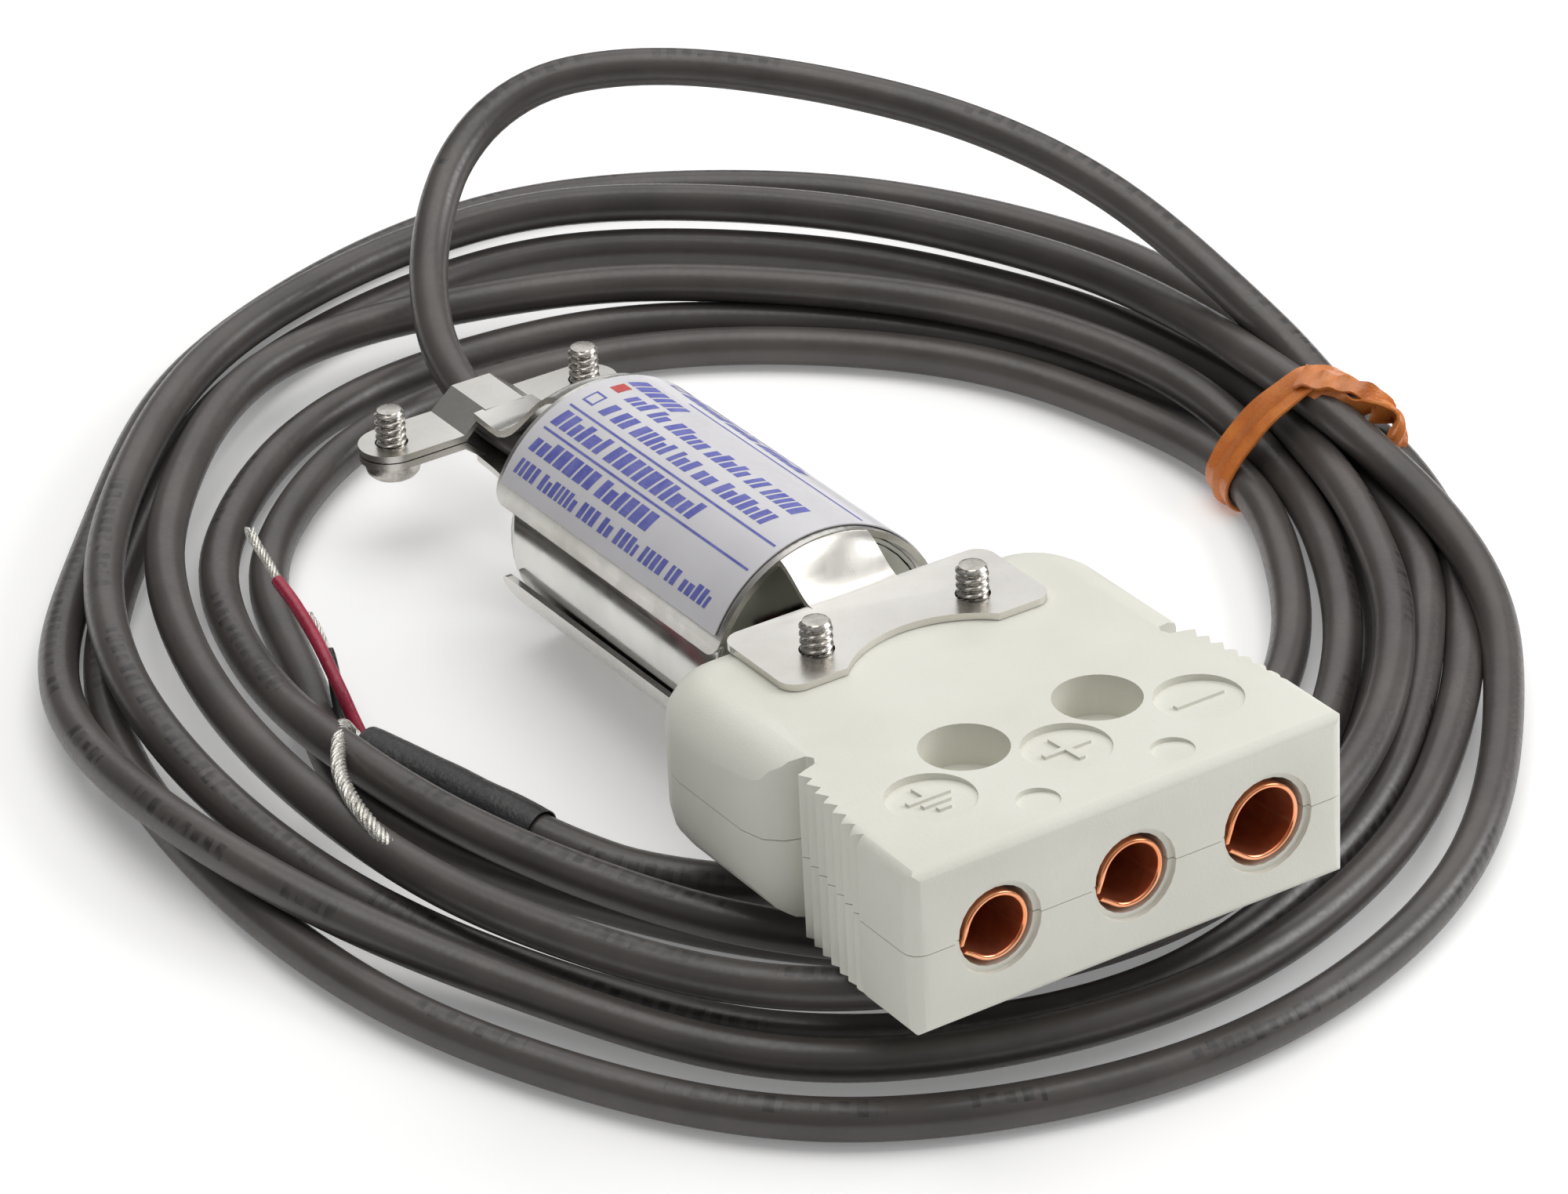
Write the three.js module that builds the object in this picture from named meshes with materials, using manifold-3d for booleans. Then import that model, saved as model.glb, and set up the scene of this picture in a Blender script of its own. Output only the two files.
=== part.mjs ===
// Plug-in temperature transmitter: a three-socket connector, a metal-cased signal
// conditioner held between two stamped brackets, and a coiled shielded lead.
// Millimetres, +Z up. The floor is z = 0 and the sockets face -Y.
import * as THREE from 'three';
import { mergeVertices } from 'three/addons/utils/BufferGeometryUtils.js';
import Module from 'manifold-3d';

const wasm = await Module();
wasm.setup();

// ---- Driving dimensions: connector ----
const PITCH = 11.1; // socket to socket
const BODY_WIDTH = 36;
const BODY_LENGTH = 35;
const BODY_THICK = 12.9;
const FRONT_EDGE_ROUND = 1.1;
const NOSE_CORNER_ROUND = 1.3;
const REAR_EDGE_ROUND = 3.4;
const REAR_CORNER_ROUND = 6;
const PARTING_GAP = 0.06;
const RIB_COUNT = 7;
const RIB_PITCH = 1.35;
const RIB_START = 6.4;
const SCREW_X = 6.6; // the two screws through the connector
const SCREW_Y = 28.5;

// ---- Driving dimensions: brackets, can and screws ----
const SHEET = 0.55; // bracket sheet thickness
const FIT = 0.05; // gap kept between faces that touch
const SHELL_RADIUS = 10;
const SHELL_EDGE = 3.05; // height of the half shell's long edges
const SHELL_START = 37.5;
const SHELL_END = 68.5;
const CAN_RADIUS = 9.35;
const CAN_WALL = 0.4;
const CAN_START = 38.2;
const CAN_END = 67.6;
const STRAP_Y = 85.5;
const CLAMP_X = 8.7; // the two screws of the cable clamp
const SCREW_RADIUS = 1.2;
const HEAD_RADIUS = 2.15;
const HEAD_HEIGHT = 1.5;

// ---- Driving dimensions: stance and lead ----
const TILT = THREE.MathUtils.degToRad(5.6); // nose up, leaning on the coil
const CABLE_RADIUS = 1.55;
const COIL_CENTRE = new THREE.Vector2(10, 60);
const COIL_INNER = 38.8;
const COIL_OUTER = 59.2;
const COIL_HEIGHT = 6.4;
const TIE_ANGLE = THREE.MathUtils.degToRad(-8);

// ---- Materials ----
const finish = (color, roughness, metalness) => ({ color, roughness, metalness });
const IVORY = finish(0xe6e4d8, 0.55, 0);
const COPPER = finish(0xc06a3c, 0.28, 1);
const NICKEL = finish(0xb9b8b2, 0.3, 1);
const STEEL = finish(0xb4b1ab, 0.35, 1);
const LABEL = finish(0xdedde2, 0.5, 0);
const PVC = finish(0x4a4644, 0.5, 0);
const BLACK = finish(0x17171a, 0.45, 0);
const RED = finish(0xa02035, 0.4, 0);
const TIN = finish(0xb8b4a8, 0.4, 1);
const BOARD = finish(0x1f5a3a, 0.5, 0);
const TIE = finish(0xd9793a, 0.4, 0);

// ---- Helpers ----
const tool = new THREE.Group(); // the connector, can and brackets, in their own frame
const lead = new THREE.Group(); // what lies on the floor, in the part's frame
const part = new THREE.Group();
part.add(tool, lead);

function add(group, name, geometry, look) {
  const mesh = new THREE.Mesh(geometry, new THREE.MeshStandardMaterial(look));
  mesh.name = name;
  group.add(mesh);
  return mesh;
}

function weld(geometry) {
  const bare = geometry.clone();
  bare.deleteAttribute('normal');
  bare.deleteAttribute('uv');
  return outward(mergeVertices(bare, 1e-4));
}

function outward(geometry) {
  const p = geometry.attributes.position;
  const index = geometry.index;
  const corner = (k) => new THREE.Vector3().fromBufferAttribute(p, index.getX(k));
  let volume = 0;
  for (let k = 0; k < index.count; k += 3) {
    volume += corner(k).dot(corner(k + 1).cross(corner(k + 2)));
  }
  if (volume < 0) {
    for (let k = 0; k < index.count; k += 3) {
      const second = index.getX(k + 1);
      index.setX(k + 1, index.getX(k + 2));
      index.setX(k + 2, second);
    }
  }
  return geometry;
}

function solid(geometry) {
  const welded = weld(geometry);
  return new wasm.Manifold(new wasm.Mesh({
    numProp: 3,
    vertProperties: new Float32Array(welded.attributes.position.array),
    triVerts: new Uint32Array(welded.index.array),
  }));
}

function shapeOf(manifold) {
  const mesh = manifold.getMesh();
  const geometry = new THREE.BufferGeometry();
  geometry.setAttribute('position', new THREE.BufferAttribute(mesh.vertProperties, 3));
  geometry.setIndex(new THREE.BufferAttribute(mesh.triVerts, 1));
  return geometry;
}

const join = (...geometries) => geometries.map(solid).reduce((a, b) => a.add(b));
const cut = (from, ...geometries) => geometries.map(solid).reduce((a, b) => a.subtract(b), from);
const overlap = (a, b) => solid(a).intersect(solid(b));

function box(x0, x1, y0, y1, z0, z1) {
  const geometry = new THREE.BoxGeometry(x1 - x0, y1 - y0, z1 - z0);
  return geometry.translate((x0 + x1) / 2, (y0 + y1) / 2, (z0 + z1) / 2);
}

function postZ(radius, x, y, z0, z1, segments = 20) {
  const geometry = new THREE.CylinderGeometry(radius, radius, z1 - z0, segments);
  return geometry.rotateX(Math.PI / 2).translate(x, y, (z0 + z1) / 2);
}

function postY(radius, x, z, y0, y1, segments = 24) {
  const geometry = new THREE.CylinderGeometry(radius, radius, y1 - y0, segments);
  return geometry.translate(x, (y0 + y1) / 2, z);
}

// a profile of [radius, y] pairs turned about the Y axis
function turned(profile, segments = 40) {
  const closed = [...profile, profile[0]].map(([r, y]) => new THREE.Vector2(r, y));
  return weld(new THREE.LatheGeometry(closed, segments));
}

// a flat outline extruded upwards, from z0 to z1
function plate(shape, z0, z1) {
  const geometry = new THREE.ExtrudeGeometry(shape, { depth: z1 - z0, bevelEnabled: false });
  return geometry.translate(0, 0, z0);
}

// an outline drawn in X and Z, extruded along Y
function alongY(shape, y0, y1, curveSegments = 24) {
  const settings = { depth: y1 - y0, bevelEnabled: false, curveSegments };
  return new THREE.ExtrudeGeometry(shape, settings).rotateX(Math.PI / 2).translate(0, y1, 0);
}

function polygon(points) {
  return new THREE.Shape(points.map(([x, y]) => new THREE.Vector2(x, y)));
}

// a rectangle with one radius at its low-y corners and another at its high-y corners
function roundedRect(x0, x1, y0, y1, low, high) {
  const shape = new THREE.Shape();
  shape.moveTo(x0 + low, y0);
  shape.lineTo(x1 - low, y0);
  if (low) shape.absarc(x1 - low, y0 + low, low, -Math.PI / 2, 0);
  shape.lineTo(x1, y1 - high);
  if (high) shape.absarc(x1 - high, y1 - high, high, 0, Math.PI / 2);
  shape.lineTo(x0 + high, y1);
  if (high) shape.absarc(x0 + high, y1 - high, high, Math.PI / 2, Math.PI);
  shape.lineTo(x0, y0 + low);
  if (low) shape.absarc(x0 + low, y0 + low, low, Math.PI, Math.PI * 1.5);
  return shape;
}

// a sheet of even thickness whose top surface is surface(u, v), u across and v along Y
function sheetOf(surface, across, along, thickness) {
  const positions = [];
  const faces = [];
  const count = (across + 1) * (along + 1);
  for (const drop of [0, thickness]) {
    for (let j = 0; j <= along; j += 1) {
      for (let i = 0; i <= across; i += 1) {
        const p = surface(-1 + (2 * i) / across, j / along);
        positions.push(p.x, p.y, p.z - drop);
      }
    }
  }
  const at = (i, j, low) => j * (across + 1) + i + (low ? count : 0);
  const quad = (a, b, c, d) => faces.push(a, b, c, a, c, d);
  for (let j = 0; j < along; j += 1) {
    for (let i = 0; i < across; i += 1) {
      quad(at(i, j), at(i + 1, j), at(i + 1, j + 1), at(i, j + 1));
      quad(at(i, j, 1), at(i, j + 1, 1), at(i + 1, j + 1, 1), at(i + 1, j, 1));
    }
    quad(at(0, j), at(0, j + 1), at(0, j + 1, 1), at(0, j, 1));
    quad(at(across, j), at(across, j, 1), at(across, j + 1, 1), at(across, j + 1));
  }
  for (let i = 0; i < across; i += 1) {
    quad(at(i, 0), at(i, 0, 1), at(i + 1, 0, 1), at(i + 1, 0));
    quad(at(i, along), at(i + 1, along), at(i + 1, along, 1), at(i, along, 1));
  }
  const geometry = new THREE.BufferGeometry();
  geometry.setAttribute('position', new THREE.Float32BufferAttribute(positions, 3));
  geometry.setIndex(faces);
  return geometry;
}

// a round rod or tube wall swept along a smooth route
function swept(points, radius, sides, steps, inner = 0) {
  const section = new THREE.Shape();
  const ring = (target, r) => {
    for (let k = 0; k < sides; k += 1) {
      const a = (k / sides) * 2 * Math.PI;
      if (k === 0) target.moveTo(r, 0);
      else target.lineTo(r * Math.cos(a), r * Math.sin(a));
    }
    target.closePath();
  };
  ring(section, radius);
  if (inner) {
    const hole = new THREE.Path();
    ring(hole, inner);
    section.holes.push(hole);
  }
  const route = new THREE.CatmullRomCurve3(points.map((p) => new THREE.Vector3(...p)));
  return weld(new THREE.ExtrudeGeometry(section, { steps, extrudePath: route, bevelEnabled: false }));
}

// ---- Connector body ----
const HALF_THICK = BODY_THICK / 2;

// half-widths of the body from nose to tail: nose, ribbed grip, groove, shoulder
function sideProfile() {
  const half = BODY_WIDTH / 2;
  const points = [];
  for (let k = 0; k <= 4; k += 1) {
    const a = (k / 4) * (Math.PI / 2);
    const r = NOSE_CORNER_ROUND;
    points.push([half - r + r * Math.sin(a), r - r * Math.cos(a)]);
  }
  points.push([half, RIB_START]);
  for (let k = 0; k < RIB_COUNT; k += 1) {
    const y = RIB_START + RIB_PITCH * k;
    const scoop = 0.15 + 0.2 * k;
    points.push([half - scoop - 0.6, y + 0.15], [half - scoop - 0.05, y + 1.1]);
  }
  const ribEnd = RIB_START + RIB_PITCH * RIB_COUNT;
  points.push([half - 3.2, ribEnd + 0.45], [half - 3.5, ribEnd + 1], [half - 3.2, ribEnd + 1.6]);
  points.push([half - 1.6, ribEnd + 2.2], [half - 0.5, ribEnd + 3.3], [half, ribEnd + 5.2]);
  for (let k = 0; k <= 6; k += 1) {
    const a = (k / 6) * (Math.PI / 2);
    const inset = REAR_CORNER_ROUND;
    points.push([half - inset + inset * Math.cos(a), BODY_LENGTH - inset + inset * Math.sin(a)]);
  }
  return points;
}

function roundedBlock(y0, y1, edge, corner) {
  const shape = roundedRect(-BODY_WIDTH / 2, BODY_WIDTH / 2, y0, y1, 0, corner);
  const geometry = new THREE.ExtrudeGeometry(shape, {
    depth: BODY_THICK - 2 * edge,
    bevelEnabled: true,
    bevelThickness: edge,
    bevelSize: edge,
    bevelOffset: -edge,
    bevelSegments: 4,
    curveSegments: 5,
  });
  return geometry.translate(0, 0, -HALF_THICK + edge);
}

const SOCKETS = [
  { name: 'ground', x: -PITCH, bore: 3.0, tube: 2.42 },
  { name: 'positive', x: 0, bore: 3.0, tube: 2.42 },
  { name: 'negative', x: PITCH, bore: 3.35, tube: 2.75 },
];
const COUNTERBORE = { wider: 0.45, depth: 0.35 }; // step round each socket's mouth
const BOSS_RADIUS = 2.8; // pillar that each body screw passes through
const LEAD_SLOT = { half: 3.6, z: 2.5 }; // way out of the chamber for the inner leads
const CHAMBER = { x: 13.4, y0: 15.6, y1: 31.5, z: 4.5 };
const MARK_Y = 7.7;
const MARK_RADIUS = 3.2;

function bodySolid() {
  const side = sideProfile();
  const outline = polygon([...side, ...side.map(([x, y]) => [-x, y]).reverse()]);
  const envelope = join(
    roundedBlock(0, 17, FRONT_EDGE_ROUND, 0),
    roundedBlock(8, BODY_LENGTH, REAR_EDGE_ROUND, REAR_CORNER_ROUND),
  );
  let body = solid(plate(outline, -HALF_THICK - 1, HALF_THICK + 1)).intersect(envelope);
  body = cut(body, box(-CHAMBER.x, CHAMBER.x, CHAMBER.y0, CHAMBER.y1, -CHAMBER.z, CHAMBER.z));
  for (const sign of [-1, 1]) {
    body = body.add(solid(postZ(BOSS_RADIUS, sign * SCREW_X, SCREW_Y, -HALF_THICK + 0.2, HALF_THICK - 0.2)));
    body = cut(body, postZ(SCREW_RADIUS + 0.15, sign * SCREW_X, SCREW_Y, -9, 9));
  }
  for (const { x, bore } of SOCKETS) {
    const mouth = postY(bore + COUNTERBORE.wider, x, 0, -1, COUNTERBORE.depth);
    body = cut(body, postY(bore, x, 0, -1, CHAMBER.y0 + 0.5), mouth);
  }
  const { half, z } = LEAD_SLOT;
  return cut(body, box(-half, half, CHAMBER.y1 - 1, BODY_LENGTH + 1, -z, z));
}

// a round pocket whose floor slopes from flush at the nose side to its full depth
function slopedPocket(radius, depth, x, y) {
  const tilt = Math.atan(depth / (2 * radius));
  const pocket = new THREE.CylinderGeometry(radius, radius, 3, 36).rotateX(Math.PI / 2);
  return pocket.translate(0, 0, 1.5).rotateX(-tilt).translate(x, y, HALF_THICK - depth / 2);
}

function onPocketFloor(geometry, depth, x) {
  const tilt = Math.atan(depth / (2 * MARK_RADIUS));
  return geometry.rotateX(-tilt).translate(x, MARK_Y, HALF_THICK - depth / 2);
}

const MARK_DEPTH = 0.55;
const RECESS = { radius: 3.2, y: 11.9, depth: 3.2 };
const DIP = { radius: 1.55, y: 3.1, depth: 0.35 };
const STROKE = 0.5;
const RAISE = 0.22;
const stroke = (x, y, dx, dy) => box(x - dx / 2, x + dx / 2, y - dy / 2, y + dy / 2, -0.2, RAISE);

// raised strokes of each polarity mark: an earth sign, a plus and a minus
function marks() {
  const earth = [
    stroke(0, 1.25, STROKE, 1.7),
    stroke(0, 0.35, 3.4, STROKE),
    stroke(0, -0.6, 2.2, STROKE),
    stroke(0, -1.55, 1.0, STROKE),
  ];
  const plus = [stroke(0, 0, STROKE, 3.8), stroke(0, 0, 3.8, STROKE)];
  const minus = [stroke(0, 0, 4, STROKE)];
  return [[earth, -PITCH], [plus, 0], [minus, PITCH]];
}

function upperHalf(body) {
  let half = body.intersect(solid(box(-30, 30, -5, 60, PARTING_GAP / 2, 20)));
  for (const [strokes, x] of marks()) {
    half = cut(half, slopedPocket(MARK_RADIUS, MARK_DEPTH, x, MARK_Y));
    for (const s of strokes) half = half.add(solid(onPocketFloor(s, MARK_DEPTH, x)));
  }
  for (const x of [-PITCH / 2, PITCH / 2]) {
    half = cut(half, postZ(RECESS.radius, x, RECESS.y, HALF_THICK - RECESS.depth, HALF_THICK + 1, 36));
    half = cut(half, slopedPocket(DIP.radius, DIP.depth, x, DIP.y));
  }
  return half;
}

const body = bodySolid();
const lowerSide = solid(box(-30, 30, -5, 60, -20, -PARTING_GAP / 2));
add(tool, 'connector_top_half', shapeOf(upperHalf(body)), IVORY);
add(tool, 'connector_bottom_half', shapeOf(body.intersect(lowerSide)), IVORY);

// ---- Sockets, terminal screws and leads to the can ----
const SOCKET_WALL = 0.38;
const SOCKET_FRONT = 0.25;
const SOCKET_BACK = 13;
const SLIT_ANGLE = THREE.MathUtils.degToRad(190);
const STRIP = { half: 1.5, y0: 11, y1: 24, thick: 0.5 }; // tongue under each terminal screw
const TERMINAL_Y = 20;
const TERMINAL_HEAD = 2;

// a tube rolled from strip, with a slit whose lips turn outwards
function socketShape(x, outer) {
  const slit = SLIT_ANGLE;
  const gap = 0.16;
  const inner = outer - SOCKET_WALL;
  const shape = new THREE.Shape();
  shape.absarc(x, 0, outer, slit + gap, slit - gap + 2 * Math.PI, false);
  shape.absarc(x, 0, inner, slit - gap + 2 * Math.PI, slit + gap, true);
  return shape;
}

for (const { name, x, tube } of SOCKETS) {
  const strip = box(x - STRIP.half, x + STRIP.half, STRIP.y0, STRIP.y1, -tube, -tube + STRIP.thick);
  let socket = join(alongY(socketShape(x, tube), SOCKET_FRONT, SOCKET_BACK, 14), strip);
  socket = cut(socket, postZ(1.25, x, TERMINAL_Y, -6, 0));
  add(tool, `socket_${name}`, shapeOf(socket), COPPER);
  const strap = -tube + STRIP.thick + FIT;
  const screw = cut(
    join(
      postZ(1.1, x, TERMINAL_Y, -CHAMBER.z + 0.15, strap + 0.5),
      postZ(TERMINAL_HEAD, x, TERMINAL_Y, strap, strap + 1.6),
    ),
    box(x - 3, x + 3, TERMINAL_Y - 0.3, TERMINAL_Y + 0.3, strap + 0.9, strap + 3),
  );
  add(tool, `terminal_screw_${name}`, shapeOf(screw), NICKEL);
}

const LEAD_RADIUS = 0.5;
const LEAD_LOOKS = { ground: IVORY, positive: RED, negative: BLACK };
for (const { name, x, tube } of SOCKETS) {
  const side = Math.sign(x);
  const start = [x, TERMINAL_Y + 2.6, -tube + STRIP.thick + FIT + LEAD_RADIUS];
  const between = side ? [[side * 5.5, 23.9, -1.2], [side * 2.3, 27, -0.4]] : [[0, 26, -0.9]];
  const route = [start, ...between, [side * 2.2, 33, 0], [side * 2.2, 41.3, 0]];
  add(tool, `inner_lead_${name}`, swept(route, LEAD_RADIUS, 8, 18), LEAD_LOOKS[name]);
}

// ---- Can with its end fittings and circuit ----
const CAN_INNER = CAN_RADIUS - CAN_WALL;
const can = turned([
  [CAN_INNER, CAN_START], [CAN_INNER, CAN_END - 1.6], [CAN_INNER - 0.35, CAN_END - 0.75],
  [CAN_INNER - 1.2, CAN_END - 0.4], [2.4, CAN_END - 0.4], [2.4, CAN_END],
  [CAN_RADIUS - 1.5, CAN_END], [CAN_RADIUS - 0.75, CAN_END - 0.22],
  [CAN_RADIUS - 0.2, CAN_END - 0.8], [CAN_RADIUS, CAN_END - 1.6], [CAN_RADIUS, CAN_START],
], 44);
add(tool, 'can', can, NICKEL);

const capRadius = CAN_INNER - FIT;
const capHoles = [-2.2, 0, 2.2].map((x) => postY(LEAD_RADIUS + 0.12, x, 0, CAN_START - 1, CAN_START + 4, 16));
const cap = cut(solid(postY(capRadius, 0, 0, CAN_START + 0.2, CAN_START + 2.2, 36)), ...capHoles);
add(tool, 'can_front_cap', shapeOf(cap), NICKEL);

const rearBush = turned([
  [CABLE_RADIUS + FIT, CAN_END - 1.2], [CABLE_RADIUS + FIT, CAN_END + 1.8],
  [2.6, CAN_END + 1.8], [3.5, CAN_END + 0.9], [3.5, CAN_END + FIT],
  [2.3, CAN_END + FIT], [2.3, CAN_END - 1.2],
], 28);
add(tool, 'can_rear_bush', rearBush, BLACK);

add(tool, 'circuit_board', box(-6.5, 6.5, 41.8, 64.3, -0.9, -0.1), BOARD);
add(tool, 'converter_chip', box(-3, 3, 49.5, 54.5, 0.02, 1.5), BLACK);
add(tool, 'loop_regulator', box(-2.2, 2.2, 58, 61.5, 0.02, 1.7), BLACK);
add(tool, 'smoothing_capacitor', postZ(1.7, 4.2, 45.6, 0.02, 3.8, 20), NICKEL);
for (const [name, x, look] of [['red', -1, RED], ['black', 1, BLACK]]) {
  const route = [[x * 0.65, 66.2, 0.1], [x * 0.8, 65.4, 0.6], [x * 1.4, 64, 0.7], [x * 1.6, 62.6, 0.65]];
  add(tool, `cable_core_${name}`, swept(route, 0.45, 8, 8), look);
}

// ---- Brackets: front plate, neck, half shell, rear neck and clamp strap ----
const PLATE = { half: 11.2, y0: 24.9, y1: 34, round: 1.5, notch: 6.4, notchRise: 2.7 };
const PLATE_TOP = HALF_THICK + FIT + SHEET;
const STRAP_LOW = FIT;
const STRAP_TOP = STRAP_LOW + SHEET;
const HUMP_TOP = CABLE_RADIUS + 0.12 + SHEET;
const NECK_FRONT = 3.7;
const NECK_REAR = 2.6;

function plateOutline() {
  const { half, y0, y1, round, notch, notchRise } = PLATE;
  const radius = (notch ** 2 + notchRise ** 2) / (2 * notchRise);
  const centre = y0 + notchRise - radius;
  const open = Math.asin(notch / radius);
  const shape = new THREE.Shape();
  shape.moveTo(-half + round, y0);
  shape.lineTo(-notch, y0);
  shape.absarc(0, centre, radius, Math.PI / 2 + open, Math.PI / 2 - open, true);
  shape.lineTo(half - round, y0);
  shape.absarc(half - round, y0 + round, round, -Math.PI / 2, 0);
  shape.absarc(half - round, y1 - round, round, 0, Math.PI / 2);
  shape.absarc(-half + round, y1 - round, round, Math.PI / 2, Math.PI);
  shape.absarc(-half + round, y0 + round, round, Math.PI, Math.PI * 1.5);
  return shape;
}

const smooth = (t) => t * t * (3 - 2 * t);
const shellHeight = (x) => Math.sqrt(SHELL_RADIUS ** 2 - x ** 2);

function frontNeck(u, v) {
  const x = u * NECK_FRONT;
  const height = THREE.MathUtils.lerp(PLATE_TOP, shellHeight(x), smooth(v));
  return new THREE.Vector3(x, 33.4 + v * 4.5, height);
}

function rearNeck(u, v) {
  const x = u * THREE.MathUtils.lerp(NECK_REAR + 0.7, NECK_REAR, v);
  const crown = HUMP_TOP - 0.15 * u * u;
  const height = THREE.MathUtils.lerp(shellHeight(x), crown, smooth(Math.min(1, v * 1.25)));
  return new THREE.Vector3(x, SHELL_END - 0.4 + v * (83.6 - SHELL_END), height);
}

// the strap seen from its end: two lobes and the hump that grips the cable
function strapSolid() {
  const foot = 3.7;
  const crest = 1.7;
  const reach = CLAMP_X + 2.6;
  const upper = [[-reach, STRAP_TOP], [-foot, STRAP_TOP], [-crest, HUMP_TOP]];
  const lower = [[-crest - 0.15, HUMP_TOP - SHEET], [-foot + 0.1, STRAP_LOW], [-reach, STRAP_LOW]];
  const mirrored = (points) => points.map(([x, z]) => [-x, z]).reverse();
  const section = polygon([...upper, ...mirrored(upper), ...mirrored(lower), ...lower]);
  const half = 2.6;
  const plan = new THREE.Shape();
  plan.absarc(CLAMP_X, STRAP_Y, half, -Math.PI / 2, Math.PI / 2);
  plan.absarc(-CLAMP_X, STRAP_Y, half, Math.PI / 2, Math.PI * 1.5);
  return overlap(alongY(section, STRAP_Y - 4, STRAP_Y + 4), plate(plan, -1, 5));
}

function halfShell() {
  const start = THREE.MathUtils.degToRad(10);
  const ring = new THREE.Shape();
  ring.absarc(0, 0, SHELL_RADIUS, start, Math.PI - start, false);
  ring.absarc(0, 0, SHELL_RADIUS - SHEET + 0.05, Math.PI - start, start, true);
  const side = roundedRect(SHELL_START, SHELL_END, SHELL_EDGE, 20, 1.4, 0);
  const window = new THREE.ExtrudeGeometry(side, { depth: 30, bevelEnabled: false, curveSegments: 5 });
  window.rotateX(Math.PI / 2).rotateZ(Math.PI / 2).translate(-15, 0, 0);
  return overlap(alongY(ring, SHELL_START - 1, SHELL_END + 1, 20), window);
}

function bracketSolid() {
  let bracket = solid(plate(plateOutline(), HALF_THICK + FIT, PLATE_TOP));
  bracket = bracket.add(solid(sheetOf(frontNeck, 12, 8, SHEET))).add(halfShell());
  bracket = bracket.add(solid(sheetOf(rearNeck, 8, 12, SHEET))).add(strapSolid());
  const holes = [-1, 1].flatMap((sign) => [
    postZ(SCREW_RADIUS + 0.1, sign * SCREW_X, SCREW_Y, 5, 9),
    postZ(SCREW_RADIUS + 0.1, sign * CLAMP_X, STRAP_Y, -1, 2),
  ]);
  return cut(bracket, ...holes);
}

function mirroredDown(geometry) {
  return outward(geometry.clone().scale(1, 1, -1));
}

const bracket = shapeOf(bracketSolid());
add(tool, 'bracket_upper', bracket, STEEL);
add(tool, 'bracket_lower', mirroredDown(bracket), STEEL);

const LABEL_THICK = 0.12;
const labelArc = new THREE.Shape();
const labelStart = THREE.MathUtils.degToRad(27);
const labelInner = SHELL_RADIUS + 0.06;
labelArc.absarc(0, 0, labelInner + LABEL_THICK, labelStart, Math.PI - labelStart, false);
labelArc.absarc(0, 0, labelInner, Math.PI - labelStart, labelStart, true);
add(tool, 'rating_label', alongY(labelArc, SHELL_START + 0.5, SHELL_END - 0.5, 16), LABEL);

// ---- Screws: heads below, tips standing above the upper bracket ----
function screwSolid(x, y, underHead, tip) {
  const screw = join(
    postZ(SCREW_RADIUS, x, y, underHead - 0.5, tip - 0.25),
    postZ(SCREW_RADIUS - 0.25, x, y, tip - 0.5, tip),
    postZ(HEAD_RADIUS, x, y, underHead - HEAD_HEIGHT * 0.65, underHead),
    postZ(HEAD_RADIUS - 0.45, x, y, underHead - HEAD_HEIGHT, underHead - 0.4),
  );
  const slotBottom = underHead - HEAD_HEIGHT - 0.5;
  return cut(screw, box(x - 3, x + 3, y - 0.3, y + 0.3, slotBottom, slotBottom + 1.2));
}

for (const [side, sign] of [['left', -1], ['right', 1]]) {
  const bodyScrew = screwSolid(sign * SCREW_X, SCREW_Y, -PLATE_TOP - FIT, PLATE_TOP + 2.3);
  add(tool, `body_screw_${side}`, shapeOf(bodyScrew), STEEL);
  const clampScrew = screwSolid(sign * CLAMP_X, STRAP_Y, -STRAP_TOP - FIT, STRAP_TOP + 2.8);
  add(tool, `clamp_screw_${side}`, shapeOf(clampScrew), STEEL);
}

// ---- Stance: tail down on the floor, nose resting on the coil ----
tool.rotation.x = -TILT;
tool.position.z = SHELL_END * Math.sin(TILT) + SHELL_RADIUS * Math.cos(TILT);

// ---- Lead: free loop, coil, tail, sleeve and bared wires ----
// Free loop from the can, through the clamp, over the coil and down to the tie.
const LOOP_ROUTE = [
  [0, 68, 10], [0, 77, 9.1], [0, 86.4, 8.2], [1.5, 95, 8.8], [4.4, 101.8, 10.4],
  [8.1, 107.1, 12.6], [12.3, 110.9, 14.9], [17, 112.9, 16.9], [22.1, 113, 18.3],
  [27.5, 111.3, 18.8], [33, 108.1, 18.8], [38.5, 103.6, 18.4], [43.7, 98.3, 17.8],
  [48.3, 92.4, 17], [52.1, 86, 15.8], [55.2, 79.3, 14], [57.3, 72.4, 11.6], [58.2, 68.2, 10.3],
];
add(lead, 'cable_loop', swept(LOOP_ROUTE, CABLE_RADIUS, 8, 26), PVC);

// The tail leaves the coil's inner side and ends in the sleeve.
const TAIL_ROUTE = [
  [-3.8, 25.8, 1.95], [-11.6, 29.9, 1.95], [-17.4, 35.6, 1.95], [-20.4, 41.6, 1.95],
  [-21.4, 44.6, 1.95], [-23.4, 50.6, 1.95], [-26, 58.4, 1.95],
];
add(lead, 'cable_tail', swept(TAIL_ROUTE, CABLE_RADIUS, 8, 16), PVC);
const SLEEVE_ROUTE = [[-20.9, 43.1, 1.95], [-23.4, 50.6, 1.95], [-26.2, 59, 1.95]];
const SLEEVE_RADIUS = 1.93;
const SLEEVE_INNER = 1.72;
add(lead, 'end_sleeve', swept(SLEEVE_ROUTE, SLEEVE_RADIUS, 12, 6, SLEEVE_INNER), BLACK);

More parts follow.
